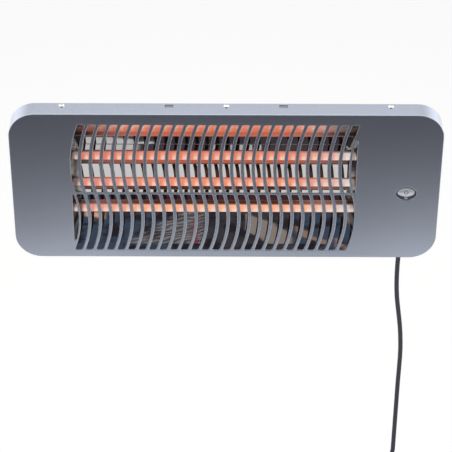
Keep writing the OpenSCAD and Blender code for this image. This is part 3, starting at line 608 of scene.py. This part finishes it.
def cut_away(obj, shapes):
    """Cuts the closed shapes out of the object."""
    bmesh.ops.recalc_face_normals(shapes, faces=shapes.faces)
    cutter = new_object("cutter", shapes)
    modifier = obj.modifiers.new("cut", "BOOLEAN")
    modifier.operation = "DIFFERENCE"
    modifier.solver = "EXACT"
    modifier.object = cutter
    settle(obj)
    bpy.data.meshes.remove(cutter.data)


def add_box(bm, low, high):
    middle, size = (Vector(low) + Vector(high)) / 2, Vector(high) - Vector(low)
    for vert in bmesh.ops.create_cube(bm, size=1.0)["verts"]:
        vert.co = vert.co * size + middle


class Step:
    """One step of the build: frame nodes that only need a finish, then pieces of its own."""
    dressed = {}

    def execute(self, context):
        for slot, nodes in self.dressed.items():
            dress(nodes, slot)
        self.build(context.scene)
        return {"FINISHED"}

    def build(self, scene):
        """Nothing more by default."""


# ---------------------------------------------------------------- front cover

class Slots:
    """The outlines of the grille's openings, worked out from the bars' two bows."""

    def __init__(self, grille, cover):
        self.g = grille
        self.top = cover.height / 2 - grille.above
        self.bottom = -cover.height / 2 + grille.below
        self.upper_low = grille.crossbar_z + grille.crossbar / 2
        self.lower_high = grille.crossbar_z - grille.crossbar / 2
        self.upper_mid = grille.crossbar_z + grille.upper_rise
        self.lower_mid = grille.crossbar_z - grille.lower_drop
        self.last_x = grille.first_x + (grille.bars - 1) * grille.pitch

    def upper_bow(self, z):
        return ((z - self.upper_mid) ** 2 - self.g.upper_rise ** 2) / (2 * self.g.upper_radius)

    def lower_bow(self, z):
        return (self.g.lower_drop ** 2 - (z - self.lower_mid) ** 2) / (2 * self.g.lower_radius)

    def bow(self, z):
        return self.upper_bow(z) if z > self.g.crossbar_z else self.lower_bow(z)

    def outline(self, low, high, left, right, left_share, right_share, corner):
        """A slot's outline, up its left side and down its right one."""
        narrow = min(right - left + (right_share - left_share) * self.bow(z) for z in (low, high))
        r = min(corner, 0.45 * narrow)
        turn = [r * (1 - math.cos(math.radians(a))) for a in range(0, 90, 15)]
        steps = 18
        heights = ([low + t for t in turn]
                   + [low + r + (high - low - 2 * r) * i / steps for i in range(steps + 1)]
                   + [high - t for t in reversed(turn)])

        def drawn_in(z):
            end = min(z - low, high - z)
            return 0.0 if end >= r else r - math.sqrt(max(0.0, r ** 2 - (r - end) ** 2))

        return ([(left + left_share * self.bow(z) + drawn_in(z), z) for z in heights]
                + [(right + right_share * self.bow(z) - drawn_in(z), z) for z in reversed(heights)])

    def all(self):
        g = self.g
        half = g.bar / 2
        found = [self.outline(low, high, g.first_x + k * g.pitch + half,
                              g.first_x + (k + 1) * g.pitch - half, 1, 1, g.corner)
                 for low, high in ((self.upper_low, self.top), (self.bottom, self.lower_high))
                 for k in range(g.bars - 1)]
        # the sliver right of the upper row
        edge = self.last_x - half + g.end_bar
        border = self.last_x - half + self.lower_bow(self.lower_mid) - g.sliver_inset
        room = border - edge - self.upper_bow(self.upper_mid) - g.sliver_tip
        tip = self.upper_mid + math.sqrt(2 * g.upper_radius * room)
        found.append(self.outline(self.upper_low, tip, edge, border, 1, 0, g.sliver_corner))
        # the sliver left of the lower row
        edge = g.first_x + half - g.end_bar
        border = g.first_x + half + self.upper_bow(self.upper_mid) + g.sliver_inset
        room = edge + self.lower_bow(self.lower_mid) - border - g.sliver_tip
        tip = self.lower_mid - math.sqrt(2 * g.lower_radius * room)
        found.append(self.outline(tip, self.lower_high, border, edge, 0, 1, g.sliver_corner))
        return found


class HEATER_OT_cover(Step, Operator):
    """Builds the stamped front cover with its grille, rounded rim and button hole"""
    bl_idname = "heater.cover"
    bl_label = "Front Cover"

    def build(self, scene):
        cover = scene.heater_cover
        obj = self.skin(cover, scene.heater_grille, scene.heater_button)
        windows = [(x, side) for side in (-1, 1) for x in (-cover.window_x, cover.window_x)]
        cutter = bmesh.new()
        reach, hole_radius = 0.004, 0.002
        half = Vector((WINDOW_WIDTH / 2, WINDOW_HEIGHT / 2, reach))
        for x, side in windows:
            middle = face_point(x, cover.window_depth, side * cover.height / 2)
            add_box(cutter, middle - half, middle + half)
        for seat, _ in screw_places(cover):
            lathe(cutter, [(hole_radius, -reach), (hole_radius, reach)], Matrix.Translation(seat), 24)
        cut_away(obj, cutter)
        shade(obj, 35.0)
        weighted = obj.modifiers.new("flat faces lead", "WEIGHTED_NORMAL")
        weighted.mode = "FACE_AREA"
        weighted.weight = 100
        weighted.keep_sharp = True
        settle(obj)

        # thin blanking plates in the rim's windows, a little below its surface
        bm = bmesh.new()
        for x, side in windows:
            loft(bm, [[face_point(x + u, cover.window_depth + v, side * (cover.height / 2 - depth))
                       for u, v in rounded_rect(WINDOW_WIDTH - gap, WINDOW_HEIGHT - gap, 0.0006, 3)]
                      for gap, depth in ((0.0001, 0.0018), (0.0001, 0.0010), (0.0007, 0.0007))])
        piece("window_blanks", bm, "heater", "housing_paint")

    @staticmethod
    def skin(cover, grille, button):
        """The sheet itself: rounded slots, a rounded rim, and flat faces between them."""
        slots = Slots(grille, cover).all()
        slots.append([(button.x + x, button.z + z)
                      for x, z in reversed(oval(button.hole_width, button.hole_height))])
        bm = bmesh.new()
        edge, inside = (bm.verts.layers.float.new(name) for name in ("edge", "inside"))
        front, back, edges = [], [], []
        for slot in slots:
            made = loft(bm, [[face_point(x, depth, z) for x, z in grown(slot, out)]
                             for out, depth in quarter(cover.lip, 5)]
                        + [[face_point(x, cover.sheet, z) for x, z in slot]], "open")
            front.append(made[0])
            # the lip rings carry the edge mark for the painted highlight on the lips
            edges += made[1:-2]
            # the back rings, and the rim's two inner rings below, carry the inside mark for the painted
            # shade
            back.append(made[-1])
        outer = quarter(cover.edge, 6) + [
            (0.0, cover.rim - 0.0002), (0.0002, cover.rim), (cover.sheet - 0.0002, cover.rim),
            (cover.sheet, cover.rim - 0.0002), (cover.sheet, cover.sheet)]
        rim = loft(bm, [[face_point(x, depth, z) for x, z in rounded_rect(
            cover.width - 2 * inset, cover.height - 2 * inset, cover.corner - inset)]
            for inset, depth in outer], "open")
        for layer, rings in ((edge, edges), (inside, back + rim[-2:])):
            for ring in rings:
                for vert in ring:
                    vert[layer] = 1.0
        fill(bm, [rim[0]] + front)
        fill(bm, [rim[-1]] + back)
        return piece("front_cover_skin", bm, "heater", "cover_paint", ["front_cover"])


# ---------------------------------------------------------------- screws

def screw_places(cover):
    """The cover screws' seats on the rim, each with the way its head points."""
    return [(face_point(x, cover.screw_depth, side * cover.height / 2), (0, 0, side))
            for side in (-1, 1) for x in (-cover.screw_x, 0.0, cover.screw_x)]


def pan_head():
    """A pan-head screw with a cross recess, its head's seat at the origin, pointing up."""
    r, h = HEAD_RADIUS, HEAD_HEIGHT
    shank_radius, shank, wall = 0.00195, 0.006, 0.35
    turns = [math.radians(a) for a in range(12, 85, 12)]
    dome = [(r * math.cos(a), h * (wall + (1.0 - wall) * math.sin(a))) for a in turns]
    bm = bmesh.new()
    lathe(bm, [(shank_radius, -shank), (shank_radius, 0.0), (r - 0.0002, 0.0), (r, 0.0), (r, h * wall)]
          + dome + [(0.0002, h)], Matrix.Identity(4), 32)
    bmesh.ops.recalc_face_normals(bm, faces=bm.faces)
    obj = new_object("pan_head", bm)
    slot, slot_width, slot_depth = 0.0044, 0.0010, 0.0011
    for x, y in ((slot / 2, slot_width / 2), (slot_width / 2, slot / 2)):
        cross = bmesh.new()
        add_box(cross, (-x, -y, h - slot_depth), (x, y, h + slot_depth))
        cut_away(obj, cross)
    mesh = obj.data
    bpy.data.objects.remove(obj)
    return mesh


def screw_set(name, places, nodes):
    """One piece of like screws, each placed by its seat and the way it points."""
    head = pan_head()
    bm = bmesh.new()
    for i, (seat, way) in enumerate(places):
        matrix = pointed(seat, way) @ Matrix.Rotation(0.5 + 0.9 * i, 4, "Z")
        start = len(bm.verts)
        bm.from_mesh(head)
        bm.verts.ensure_lookup_table()
        for vert in bm.verts[start:]:
            vert.co = matrix @ vert.co
    piece(name, bm, "heater", "bright_steel", nodes, 30.0)
    bpy.data.meshes.remove(head)


class HEATER_OT_screws(Step, Operator):
    """Puts the cross-recessed screws in the cover's rim"""
    bl_idname = "heater.screws"
    bl_label = "Cover Screws"

    def build(self, scene):
        screw_set("cover_screw_heads", screw_places(scene.heater_cover), ["cover_screws"])


class HEATER_OT_housing(Step, Operator):
    """Finishes the rear housing, the hinge lugs and their screws"""
    bl_idname = "heater.housing"
    bl_label = "Rear Housing"
    dressed = {"housing_paint": ["rear_housing"],
               "bracket_paint": ["hinge_lug_" + side for side in SIDES]}

    def build(self, scene):
        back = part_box("lug_screws")[1]
        x, z = back.x - HEAD_RADIUS, back.z - HEAD_RADIUS
        screw_set("lug_screw_heads", [((side * x, back.y - HEAD_HEIGHT, row * z), (0, 1, 0))
                                      for side in (-1, 1) for row in (-1, 1)], ["lug_screws"])


# ---------------------------------------------------------------- reflector and tubes

class HEATER_OT_reflector(Step, Operator):
    """Polishes the reflector trough and its end cheeks"""
    bl_idname = "heater.reflector"
    bl_label = "Reflector"
    dressed = {"mirror_aluminium": ["reflector"],
               "tinted_aluminium": ["reflector_cheek_" + side for side in SIDES]}


class HEATER_OT_tubes(Step, Operator):
    """Lights the quartz tubes and finishes their wires, caps and brackets"""
    bl_idname = "heater.tubes"
    bl_label = "Quartz Tubes"
    dressed = {"heating_wire": ["heating_wire_" + row for row in ROWS],
               "ceramic": [f"end_cap_{row}_{side}" for row in ROWS for side in SIDES],
               "zinc_steel": ["tube_bracket_" + side for side in SIDES],
               "bright_steel": ["bracket_screws"],
               **{"quartz_" + row: ["quartz_tube_" + row] for row in ROWS}}


# ---------------------------------------------------------------- button

class HEATER_OT_button(Step, Operator):
    """Builds the domed silver button with its power mark, and the dark bezel round it"""
    bl_idname = "heater.button"
    bl_label = "Push Button"

    def build(self, scene):
        b = scene.heater_button
        self.cap(b)
        self.mark(b)
        self.ring(b)
        self.catch(b)

    @staticmethod
    def ovals(b, sizes, rise=0.0):
        """Ovals round the button's middle, each by its width, height and depth behind the face."""
        return [[face_point(b.x + x, depth, b.z + rise + z) for x, z in oval(width, height)]
                for width, height, depth in sizes]

    def cap(self, b):
        bm = bmesh.new()
        # insets from the oval's edge and depths behind its front: a crest, a groove, then a low dome
        profile = [(0.0, 0.0080), (0.0, 0.0012), (0.0001, 0.0008), (0.0004, 0.0005), (0.0009, 0.0002),
                   (0.0017, 0.0), (0.0024, 0.00004), (0.0027, 0.00014), (0.0029, 0.0003),
                   (0.0031, 0.00016), (0.0034, 0.00010), (0.0055, 0.00005), (0.0070, 0.00003)]
        loft(bm, self.ovals(b, [(b.width - 2 * inset, b.height - 2 * b.rise - 2 * inset, b.sink + depth)
                                for inset, depth in profile], b.rise))
        stem = face_point(b.x, b.sink + profile[0][1], b.z)
        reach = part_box("push_button")[1].y - stem.y
        lathe(bm, [(0.0025, -0.0005), (0.0025, reach - 0.0004), (0.0021, reach)],
              Matrix.Translation(stem) @ Matrix.Rotation(-math.pi / 2, 4, "X"), 32)
        piece("button_cap", bm, "push_button", "button_silver", ["push_button"])

    @staticmethod
    def mark(b):
        """The power mark: a broken ring and a bar, as flat raised lines on the dome."""
        bm = bmesh.new()
        low, high, half_width = b.sink + 0.00001, b.sink + 0.00031, 0.00050
        for line in (arc(0.0, 0.0, 0.0027, 128, 412, 28), [(0.0, 0.0006), (0.0, 0.0036)]):
            points = [Vector(p) for p in line]
            rings = []
            for i, point in enumerate(points):
                way = (points[min(i + 1, len(points) - 1)] - points[max(i - 1, 0)]).normalized()
                out = Vector((-way.y, way.x)) * half_width
                rings.append([face_point(b.x + p.x, depth, b.z + b.rise + p.y) for p, depth in (
                    (point + out, low), (point - out, low), (point - out, high), (point + out, high))])
            loft(bm, rings)
        piece("button_mark", bm, "push_button", "black_plastic", look="button_ink")

    def ring(self, b):
        """The bezel: a rim that fills the gap between the hole and the button, and a flange behind."""
        bm = bmesh.new()
        deep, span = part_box("button_bezel")[1].y - FACE_Y, 0.00108
        outer = (b.hole_width - 0.0006, b.hole_height - 0.0006)
        inner = (b.width + 0.0008, b.height + 0.0008)
        rim = [(0.0, deep), (0.0, 0.0029), (0.0002, 0.0025), (0.0006, 0.0022), (0.0009, 0.0022),
               (0.00105, 0.0024), (span, 0.0029), (span, deep)]
        loft(bm, self.ovals(b, [(*(o + (i - o) * part / span for o, i in zip(outer, inner)), depth)
                                for part, depth in rim]), "joined")
        flange = [(0.0, 0.0018), (0.0056, 0.0018), (0.006, 0.0021), (0.006, 0.0038), (0.0, 0.0038)]
        loft(bm, self.ovals(b, [(b.hole_width + grow, b.hole_height + grow, depth)
                                for grow, depth in flange]), "joined")
        piece("button_ring", bm, "heater", "bezel_plastic", ["button_bezel"])

    @staticmethod
    def catch(b):
        """The ring's small catch under the button, narrower at its foot."""
        bm = bmesh.new()
        top, foot = b.z + 2 * b.rise - b.height / 2 - 0.0003, b.z - b.hole_height / 2 + 0.0006
        corners = ((-0.0027, top, -1), (0.0027, top, -1), (0.0019, foot, 1), (-0.0019, foot, 1))
        levels = ((0.0, 0.0036), (0.0, 0.0014), (0.0003, 0.0010), (0.0008, 0.0008))
        loft(bm, [[face_point(b.x + x * (1 - inset * 150), depth, z + inset * side)
                   for x, z, side in corners] for inset, depth in levels])
        # the catch is the bezel's plastic, coloured a pale grey as a painted highlight
        piece("button_catch", bm, "heater", "bezel_plastic", look="tab_grey")


# ---------------------------------------------------------------- wiring, bracket and knobs

class HEATER_OT_wiring(Step, Operator):
    """Finishes the switch, terminals, wires and the clamp inside the housing"""
    bl_idname = "heater.wiring"
    bl_label = "Switch and Wiring"
    dressed = {"black_plastic": ["push_switch", "thermal_cutout"], "ceramic": ["terminal_block"],
               "wire_sleeve": ["link_wires", "lead_wires"], "brass": ["earth_screw"],
               "white_plastic": ["cable_clamp"]}


class HEATER_OT_bracket(Step, Operator):
    """Finishes the wall bracket, its pivot bolts and washers, and builds the clamp knobs"""
    bl_idname = "heater.bracket"
    bl_label = "Wall Bracket"
    dressed = {"bracket_paint": ["wall_bracket"], "bright_steel": ["pivot_bolts"],
               "black_plastic": ["friction_washers"]}
    # radius and height from the seat: the bolt's bore, the neck, the grip, then its sunk middle
    profile = [(0.0033, 0.0105), (0.0033, 0.0003), (0.0036, 0.0), (0.0068, 0.0), (0.0072, 0.0003),
               (0.0079, 0.0017), (0.0084, 0.0021), (0.0109, 0.0024), (0.0116, 0.0027), (0.0119, 0.0034),
               (0.0119, 0.0100), (0.0117, 0.0109), (0.0112, 0.0117), (0.0102, 0.0125), (0.0092, 0.0129),
               (0.0084, 0.0129), (0.0081, 0.0127), (0.0079, 0.0123), (0.0020, 0.0121)]
    flutes, flute_depth, steps = 8, 0.0012, 128

    def build(self, scene):
        self.knob("knob_left", -1)
        self.knob("knob_right", 1)

    def knob(self, name, side):
        """A round knob with finger flutes that run out towards its neck and its middle."""
        low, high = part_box(name)
        seat = Vector((low.x if side > 0 else high.x, (low.y + high.y) / 2, (low.z + high.z) / 2))
        matrix = pointed(seat, (side, 0, 0))
        turns = [math.tau * i / self.steps for i in range(self.steps)]
        rings = []
        for r, h in self.profile:
            depth = self.flute_depth * min(1.0, max(0.0, (r - 0.0080) / 0.0030))
            radii = [r - depth * max(0.0, math.cos(self.flutes * a)) ** 2 for a in turns]
            rings.append([matrix @ Vector((at * math.cos(a), at * math.sin(a), h))
                          for at, a in zip(radii, turns)])
        bm = bmesh.new()
        loft(bm, rings)
        piece(name + "_grip", bm, name, "knob_plastic", [name])


# ---------------------------------------------------------------- cord and plug

# the hanging stretch, in X and Z
HANG = [(0.257, -0.140), (0.2565, -0.170), (0.257, -0.200), (0.259, -0.230), (0.263, -0.260),
        (0.267, -0.290), (0.2695, -0.320), (0.2705, -0.350), (0.270, -0.400), (0.270, -0.450),
        (0.270, -0.500), (0.270, -0.536)]


def smoothed(points, steps):
    """Points of the smooth curve through the given ones."""
    found = []
    for i in range(len(points) - 1):
        a, b = points[max(i - 1, 0)], points[i]
        c, d = points[i + 1], points[min(i + 2, len(points) - 1)]
        for s in range(steps):
            t = s / steps
            found.append(0.5 * (2 * b + (c - a) * t + (2 * a - 5 * b + 4 * c - d) * t * t
                                + (3 * b - a - 3 * c + d) * t * t * t))
    return found + [points[-1]]


def cord_route(cord):
    """The cord's centre line: the hanging stretch, the coil's two layers and the plug's tail."""
    exit_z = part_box("cord")[1].z
    path = smoothed([Vector((x, CORD_Y, z)) for x, z in [(HANG[0][0], exit_z)] + HANG], 2)
    out_r, bend, step = cord.coil_radius, cord.entry_radius, cord.coil_step
    top = COIL_Z + math.sqrt((out_r + bend) ** 2 - bend ** 2)
    entry = math.acos(bend / (out_r + bend))
    for i in range(5):
        a = entry * i / 5
        path.append(Vector((COIL_X - bend * (1 - math.cos(a)), CORD_Y, top - bend * math.sin(a))))
    start = math.pi - entry
    whole_turns, points_a_turn = 5, 36
    turns = whole_turns + (math.pi - start) / math.tau
    in_r = out_r - step * turns / 2
    count = round(turns * points_a_turn)
    for i in range(count + 1):
        t = turns * i / count
        r = in_r + step * abs(t - turns / 2)
        a = start + math.tau * t
        shift = step * min(1.0, max(0.0, 2 * (t - turns / 2) + 0.5))
        path.append(Vector((COIL_X + r * math.cos(a), CORD_Y + shift, COIL_Z + r * math.sin(a))))
    end = path[-1].copy()
    return path + [end - Vector((0, 0, cord.plug_tail * i / 3)) for i in (1, 2, 3)]


class HEATER_OT_cord(Step, Operator):
    """Runs the mains cord from its sleeve down to its tied coil"""
    bl_idname = "heater.cord"
    bl_label = "Mains Cord"
    dressed = {"cord_rubber": ["supply_tail"], "tie_plastic": ["cord_tie"],
               "plug_rubber": ["plug_body"], "nickel": ["plug_pins"]}

    def build(self, scene):
        cord = scene.heater_cord
        path = cord_route(cord)
        curve = bpy.data.curves.new("mains_cord", "CURVE")
        curve.dimensions = "3D"
        curve.bevel_depth = cord.diameter / 2
        curve.bevel_resolution = 6
        curve.use_fill_caps = True
        spline = curve.splines.new("POLY")
        spline.points.add(len(path) - 1)
        for point, spot in zip(spline.points, path):
            point.co = (*spot, 1.0)
        spline.use_smooth = True
        curve.materials.append(finish("cord_rubber"))
        obj = new_object("mains_cord", curve)
        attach(obj, "heater")
        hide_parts("cord", "cord_coil")
        run = sum((b - a).length for a, b in zip(path, path[1:]))
        tuple(path[0])
        self.sleeve(cord)

    @staticmethod
    def sleeve(cord):
        """The cord's tapered sleeve, ribbed so that it bends evenly, with its flange in the housing."""
        low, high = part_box("strain_relief")
        wide, cord_r = (high.x - low.x) / 2, cord.diameter / 2
        neck, tip, ribs = wide - 0.0020, cord_r + 0.0013, 7
        plate = high.z - 0.0042
        foot = plate - 0.0040
        # from the inner flange over the housing's groove and the outer flange to the ribs
        profile = [(wide - 0.0004, high.z), (wide, high.z - 0.0004), (wide, high.z - 0.0030),
                   (neck, high.z - 0.0030), (neck, plate), (wide - 0.0003, plate),
                   (wide, plate - 0.0004), (wide, plate - 0.0024), (wide - 0.0005, plate - 0.0030),
                   (neck, foot)]
        rib = [(0.0, 0.0), (0.0002, 0.0003), (0.0011, 0.0005), (0.0011, 0.0012), (0.0004, 0.0014),
               (0.0002, 0.0017)]
        start = plate - 0.0055
        for i in range(ribs):
            top = start - i * (start - low.z - 0.0015) / ribs
            r = neck + (tip - neck) * (foot - top) / (foot - low.z)
            profile += [(r - inset, top - drop) for inset, drop in rib]
        profile += [(tip, low.z + 0.0008), (tip - 0.0003, low.z), (cord_r + 0.0003, low.z),
                    (cord_r + 0.0002, low.z + 0.0004)]
        bm = bmesh.new()
        lathe(bm, profile, Matrix.Translation(((low.x + high.x) / 2, (low.y + high.y) / 2, 0.0)))
        piece("cord_sleeve", bm, "heater", "cord_rubber", ["strain_relief"])


# ---------------------------------------------------------------- stage

def area_lamp(name, spot, aim, size, power, tint):
    lamp = bpy.data.lights.new(name, "AREA")
    lamp.shape = "RECTANGLE"
    lamp.size, lamp.size_y = size
    lamp.energy = power
    lamp.color = tint
    obj = new_object(name, lamp)
    obj.location = spot
    obj.rotation_euler = (Vector(aim) - Vector(spot)).to_track_quat("-Z", "Y").to_euler()
    obj.visible_camera = False


def turned(first, second, by):
    """Two axes at right angles, turned in their plane."""
    return (math.cos(by) * first + math.sin(by) * second, math.cos(by) * second - math.sin(by) * first)


class HEATER_OT_stage(Step, Operator):
    """Sets the camera, the pale floor, the lamps and the room"""
    bl_idname = "heater.stage"
    bl_label = "Stage"

    def build(self, scene):
        s = scene.heater_stage
        self.camera(scene, s)
        self.floor(s)
        self.room(scene, s)
        area_lamp("top_lamp", (0.0, 0.45, 1.15), (0.0, -0.1, 0.1), (1.5, 0.9), s.top_lamp,
                  (1.0, 0.98, 0.94))
        area_lamp("front_lamp", (0.0, -0.56, -0.56), (0.0, -0.124, -0.12), (1.3, 0.20), s.front_lamp,
                  (0.97, 1.0, 1.0))
        scene.view_settings.view_transform = "Standard"

    @staticmethod
    def camera(scene, s):
        level = Vector((math.cos(s.azimuth), math.sin(s.azimuth), 0.0))
        back = Vector((math.cos(s.elevation) * math.sin(s.azimuth),
                       -math.cos(s.elevation) * math.cos(s.azimuth), math.sin(s.elevation)))
        spot = Vector((0.0, FACE_Y, 0.0)) + back * s.distance
        right, up = turned(level, back.cross(level), s.roll)
        back, up = turned(back, up, s.dip)
        camera = new_object("camera", bpy.data.cameras.new("camera"))
        camera.data.lens = s.lens
        camera.data.sensor_width = 36.0
        camera.matrix_world = Matrix.Translation(spot) @ Matrix((right, up, back)).transposed().to_4x4()
        scene.camera = camera

    @staticmethod
    def floor(s):
        """White to the camera. Metal sees a dark gap in it, with pale places and a dotted strip."""
        reach = 3.0
        bm = bmesh.new()
        corners = [(-reach, s.floor_front), (reach, s.floor_front), (reach, reach), (-reach, reach)]
        bm.faces.new([bm.verts.new((x, y, s.floor_z)) for x, y in corners])
        floor = new_object("floor", bm)
        material, n = new_material("floor")
        camera = n.add("LightPath", output="Is Camera Ray")
        glossy = camera.out("Is Glossy Ray")
        x = n.axes(n.at())
        y = x.out("Y")
        gap = n.within(y, -1.055, -1.045, -0.94, -0.92)
        pale = n.within(x, -0.35, -0.32, -0.19, -0.17) + n.spread(x, 0.31, 0.35)
        board = n.mix(gap * (1.0 - pale), (0.66, 0.64, 0.62), (0.062, 0.050, 0.062))
        dots = (n.spread(n.wave("COSINE", 334.0 * x + 1.0), 0.1, 0.5) * n.fall(y, -0.9965, -0.9955)
                * n.within(x, -0.030, -0.024, 0.088, 0.094))
        board = n.mix(gap * dots, board, (0.55, 0.52, 0.50))
        board = n.mix(n.spread(y, 0.05, 0.75), board, (1.4, 1.4, 1.4))
        level = n.mix(glossy, n.mix(camera, (0.0, 0.0, 0.0), (0.65, 0.65, 0.65)), board)
        lit = n.add("BsdfDiffuse", None, {"Color": n.mix(glossy, (0.6, 0.6, 0.6), (0.01, 0.01, 0.01))})
        both = n.add("AddShader", None, {0: lit, 1: n.add("Emission", None, {"Color": level})})
        n.add("OutputMaterial", None, {"Surface": both})
        floor.data.materials.append(material)

    @staticmethod
    def room(scene, s):
        """White to the camera. Metal and glass see a pale room with a dark far side."""
        world = bpy.data.worlds.new("room")
        world.use_nodes = True
        n = Nodes(world.node_tree)
        rise, fall, within, mix = n.spread, n.fall, n.within, n.mix
        way = n.add("TexCoord", output="Generated")
        x = n.axes(way)
        y, z = x.out("Y"), x.out("Z")
        shelves = n.noise(n.stretched(way, 60.0, 1.0, 150.0), 1.0, 3.0, 0.55)
        patches = n.noise(n.stretched(way, 150.0, 1.0, 260.0), 1.0, 1.0)
        plain = within(x, -0.010, -0.004, 0.030, 0.042)
        off = z + 0.44 * x - 0.3892
        ledge = n.spread(off * off, 0.0000007, 0.0000018, 0.9, 0.0) * rise(x, 0.036, 0.039)
        cloth = (within(x, 0.0118, 0.0130, 0.034, 0.037) * fall(z + 0.46 * x, 0.3864, 0.3874)
                 * rise(z + 0.55 * x, 0.3783, 0.3793))
        blinds = within(x, -0.048, -0.042, -0.010, -0.006) * fall(z - 0.545 * x, 0.3911, 0.3925)
        slats = rise(n.wave("SINE", 4300.0 * z - 950.0 * x) + 5.0 * (shelves - 0.5), 0.1, 0.7)
        ribbon = within(x, -0.0148, -0.0138, -0.0124, -0.0114) * fall(z, 0.3775, 0.3785)
        shadow = within(z, 0.384, 0.386, 0.50, 0.55) * rise(x, -0.045, -0.035)
        shade_light = (within(x, -0.0690, -0.0665, -0.0590, -0.0565)
                       * within(z, 0.3765, 0.3778, 0.3796, 0.3806))
        card = (within(x, -0.095, -0.085, -0.036, -0.030)
                * rise(z - 2.8 * (x + 0.060) * (x + 0.060), -0.4266, -0.4260))
        opening = fall(x * x, 0.016, 0.024) * within(z, 0.31, 0.34, 0.70, 0.74)
        dark = mix(rise(shelves, 0.44, 0.54), (0.020, 0.017, 0.023),
                   mix(plain, (0.046, 0.064, 0.100), (0.046, 0.042, 0.048)))
        for mask, colour in (
                (rise(patches, 0.60, 0.64) * rise(x, 0.048, 0.054), (0.25, 0.17, 0.13)),
                (ledge, (0.30, 0.20, 0.14)),
                (cloth, (0.26, 0.215, 0.185)),
                (blinds, (0.030, 0.022, 0.028)),
                (slats * blinds, (0.29, 0.27, 0.275)),
                (ribbon, (0.22, 0.030, 0.045)),
                (shadow, (0.048, 0.024, 0.030)),
                (shade_light, (0.68, 0.42, 0.29)),
                (fall(z, -0.30, -0.20), mix(card, (0.056, 0.046, 0.056), (0.64, 0.62, 0.60))),
                (rise(z, -0.36, -0.26) * (1.0 - opening), (0.30, 0.305, 0.32))):
            dark = mix(mask, dark, colour)
        white = mix(rise(x * x, 0.01, 0.45), (1.04, 1.02, 1.00), (2.1, 2.1, 2.1))
        seen = mix(rise(0.0 - y, 0.30, 0.55) * fall(z, 0.80, 0.95), white, dark)
        camera = n.add("LightPath", output="Is Camera Ray")
        level = mix(camera.out("Is Glossy Ray"), (s.ambient, s.ambient, s.ambient), seen)
        level = mix(camera, mix(camera.out("Is Transmission Ray"), level, seen), WHITE)
        n.add("OutputWorld", None, {"Surface": n.add("Background", None, {"Color": level})})
        scene.world = world


# ---------------------------------------------------------------- panel and registration

STEPS = (HEATER_OT_stage, HEATER_OT_cord, HEATER_OT_cover, HEATER_OT_screws, HEATER_OT_housing,
         HEATER_OT_reflector, HEATER_OT_tubes, HEATER_OT_button, HEATER_OT_wiring, HEATER_OT_bracket)
SETTINGS = {"heater_cover": HeaterCover, "heater_grille": HeaterGrille, "heater_button": HeaterButton,
            "heater_cord": HeaterCord, "heater_finish": HeaterFinish, "heater_stage": HeaterStage}


class HEATER_PT_panel(Panel):
    """Lists the heater's pieces and their sizes"""
    bl_idname = "HEATER_PT_panel"
    bl_label = "Electric Bar Heater"
    bl_space_type = "VIEW_3D"
    bl_region_type = "UI"
    bl_category = "Heater"

    def draw(self, context):
        for step in STEPS:
            self.layout.operator(step.bl_idname)
        for name, group in SETTINGS.items():
            box = self.layout.box()
            box.label(text=name.replace("heater_", "").capitalize())
            for key in group.__annotations__:
                box.prop(getattr(context.scene, name), key)


def register():
    for cls in (*SETTINGS.values(), *STEPS, HEATER_PT_panel):
        bpy.utils.register_class(cls)
    for name, group in SETTINGS.items():
        setattr(bpy.types.Scene, name, PointerProperty(type=group))


def unregister():
    for name in SETTINGS:
        delattr(bpy.types.Scene, name)
    for cls in reversed((*SETTINGS.values(), *STEPS, HEATER_PT_panel)):
        bpy.utils.unregister_class(cls)


def main():
    register()
    for step in STEPS:
        getattr(bpy.ops.heater, step.bl_idname.split(".")[1])()
    bpy.context.view_layer.update()


if __name__ == "__main__":
    main()
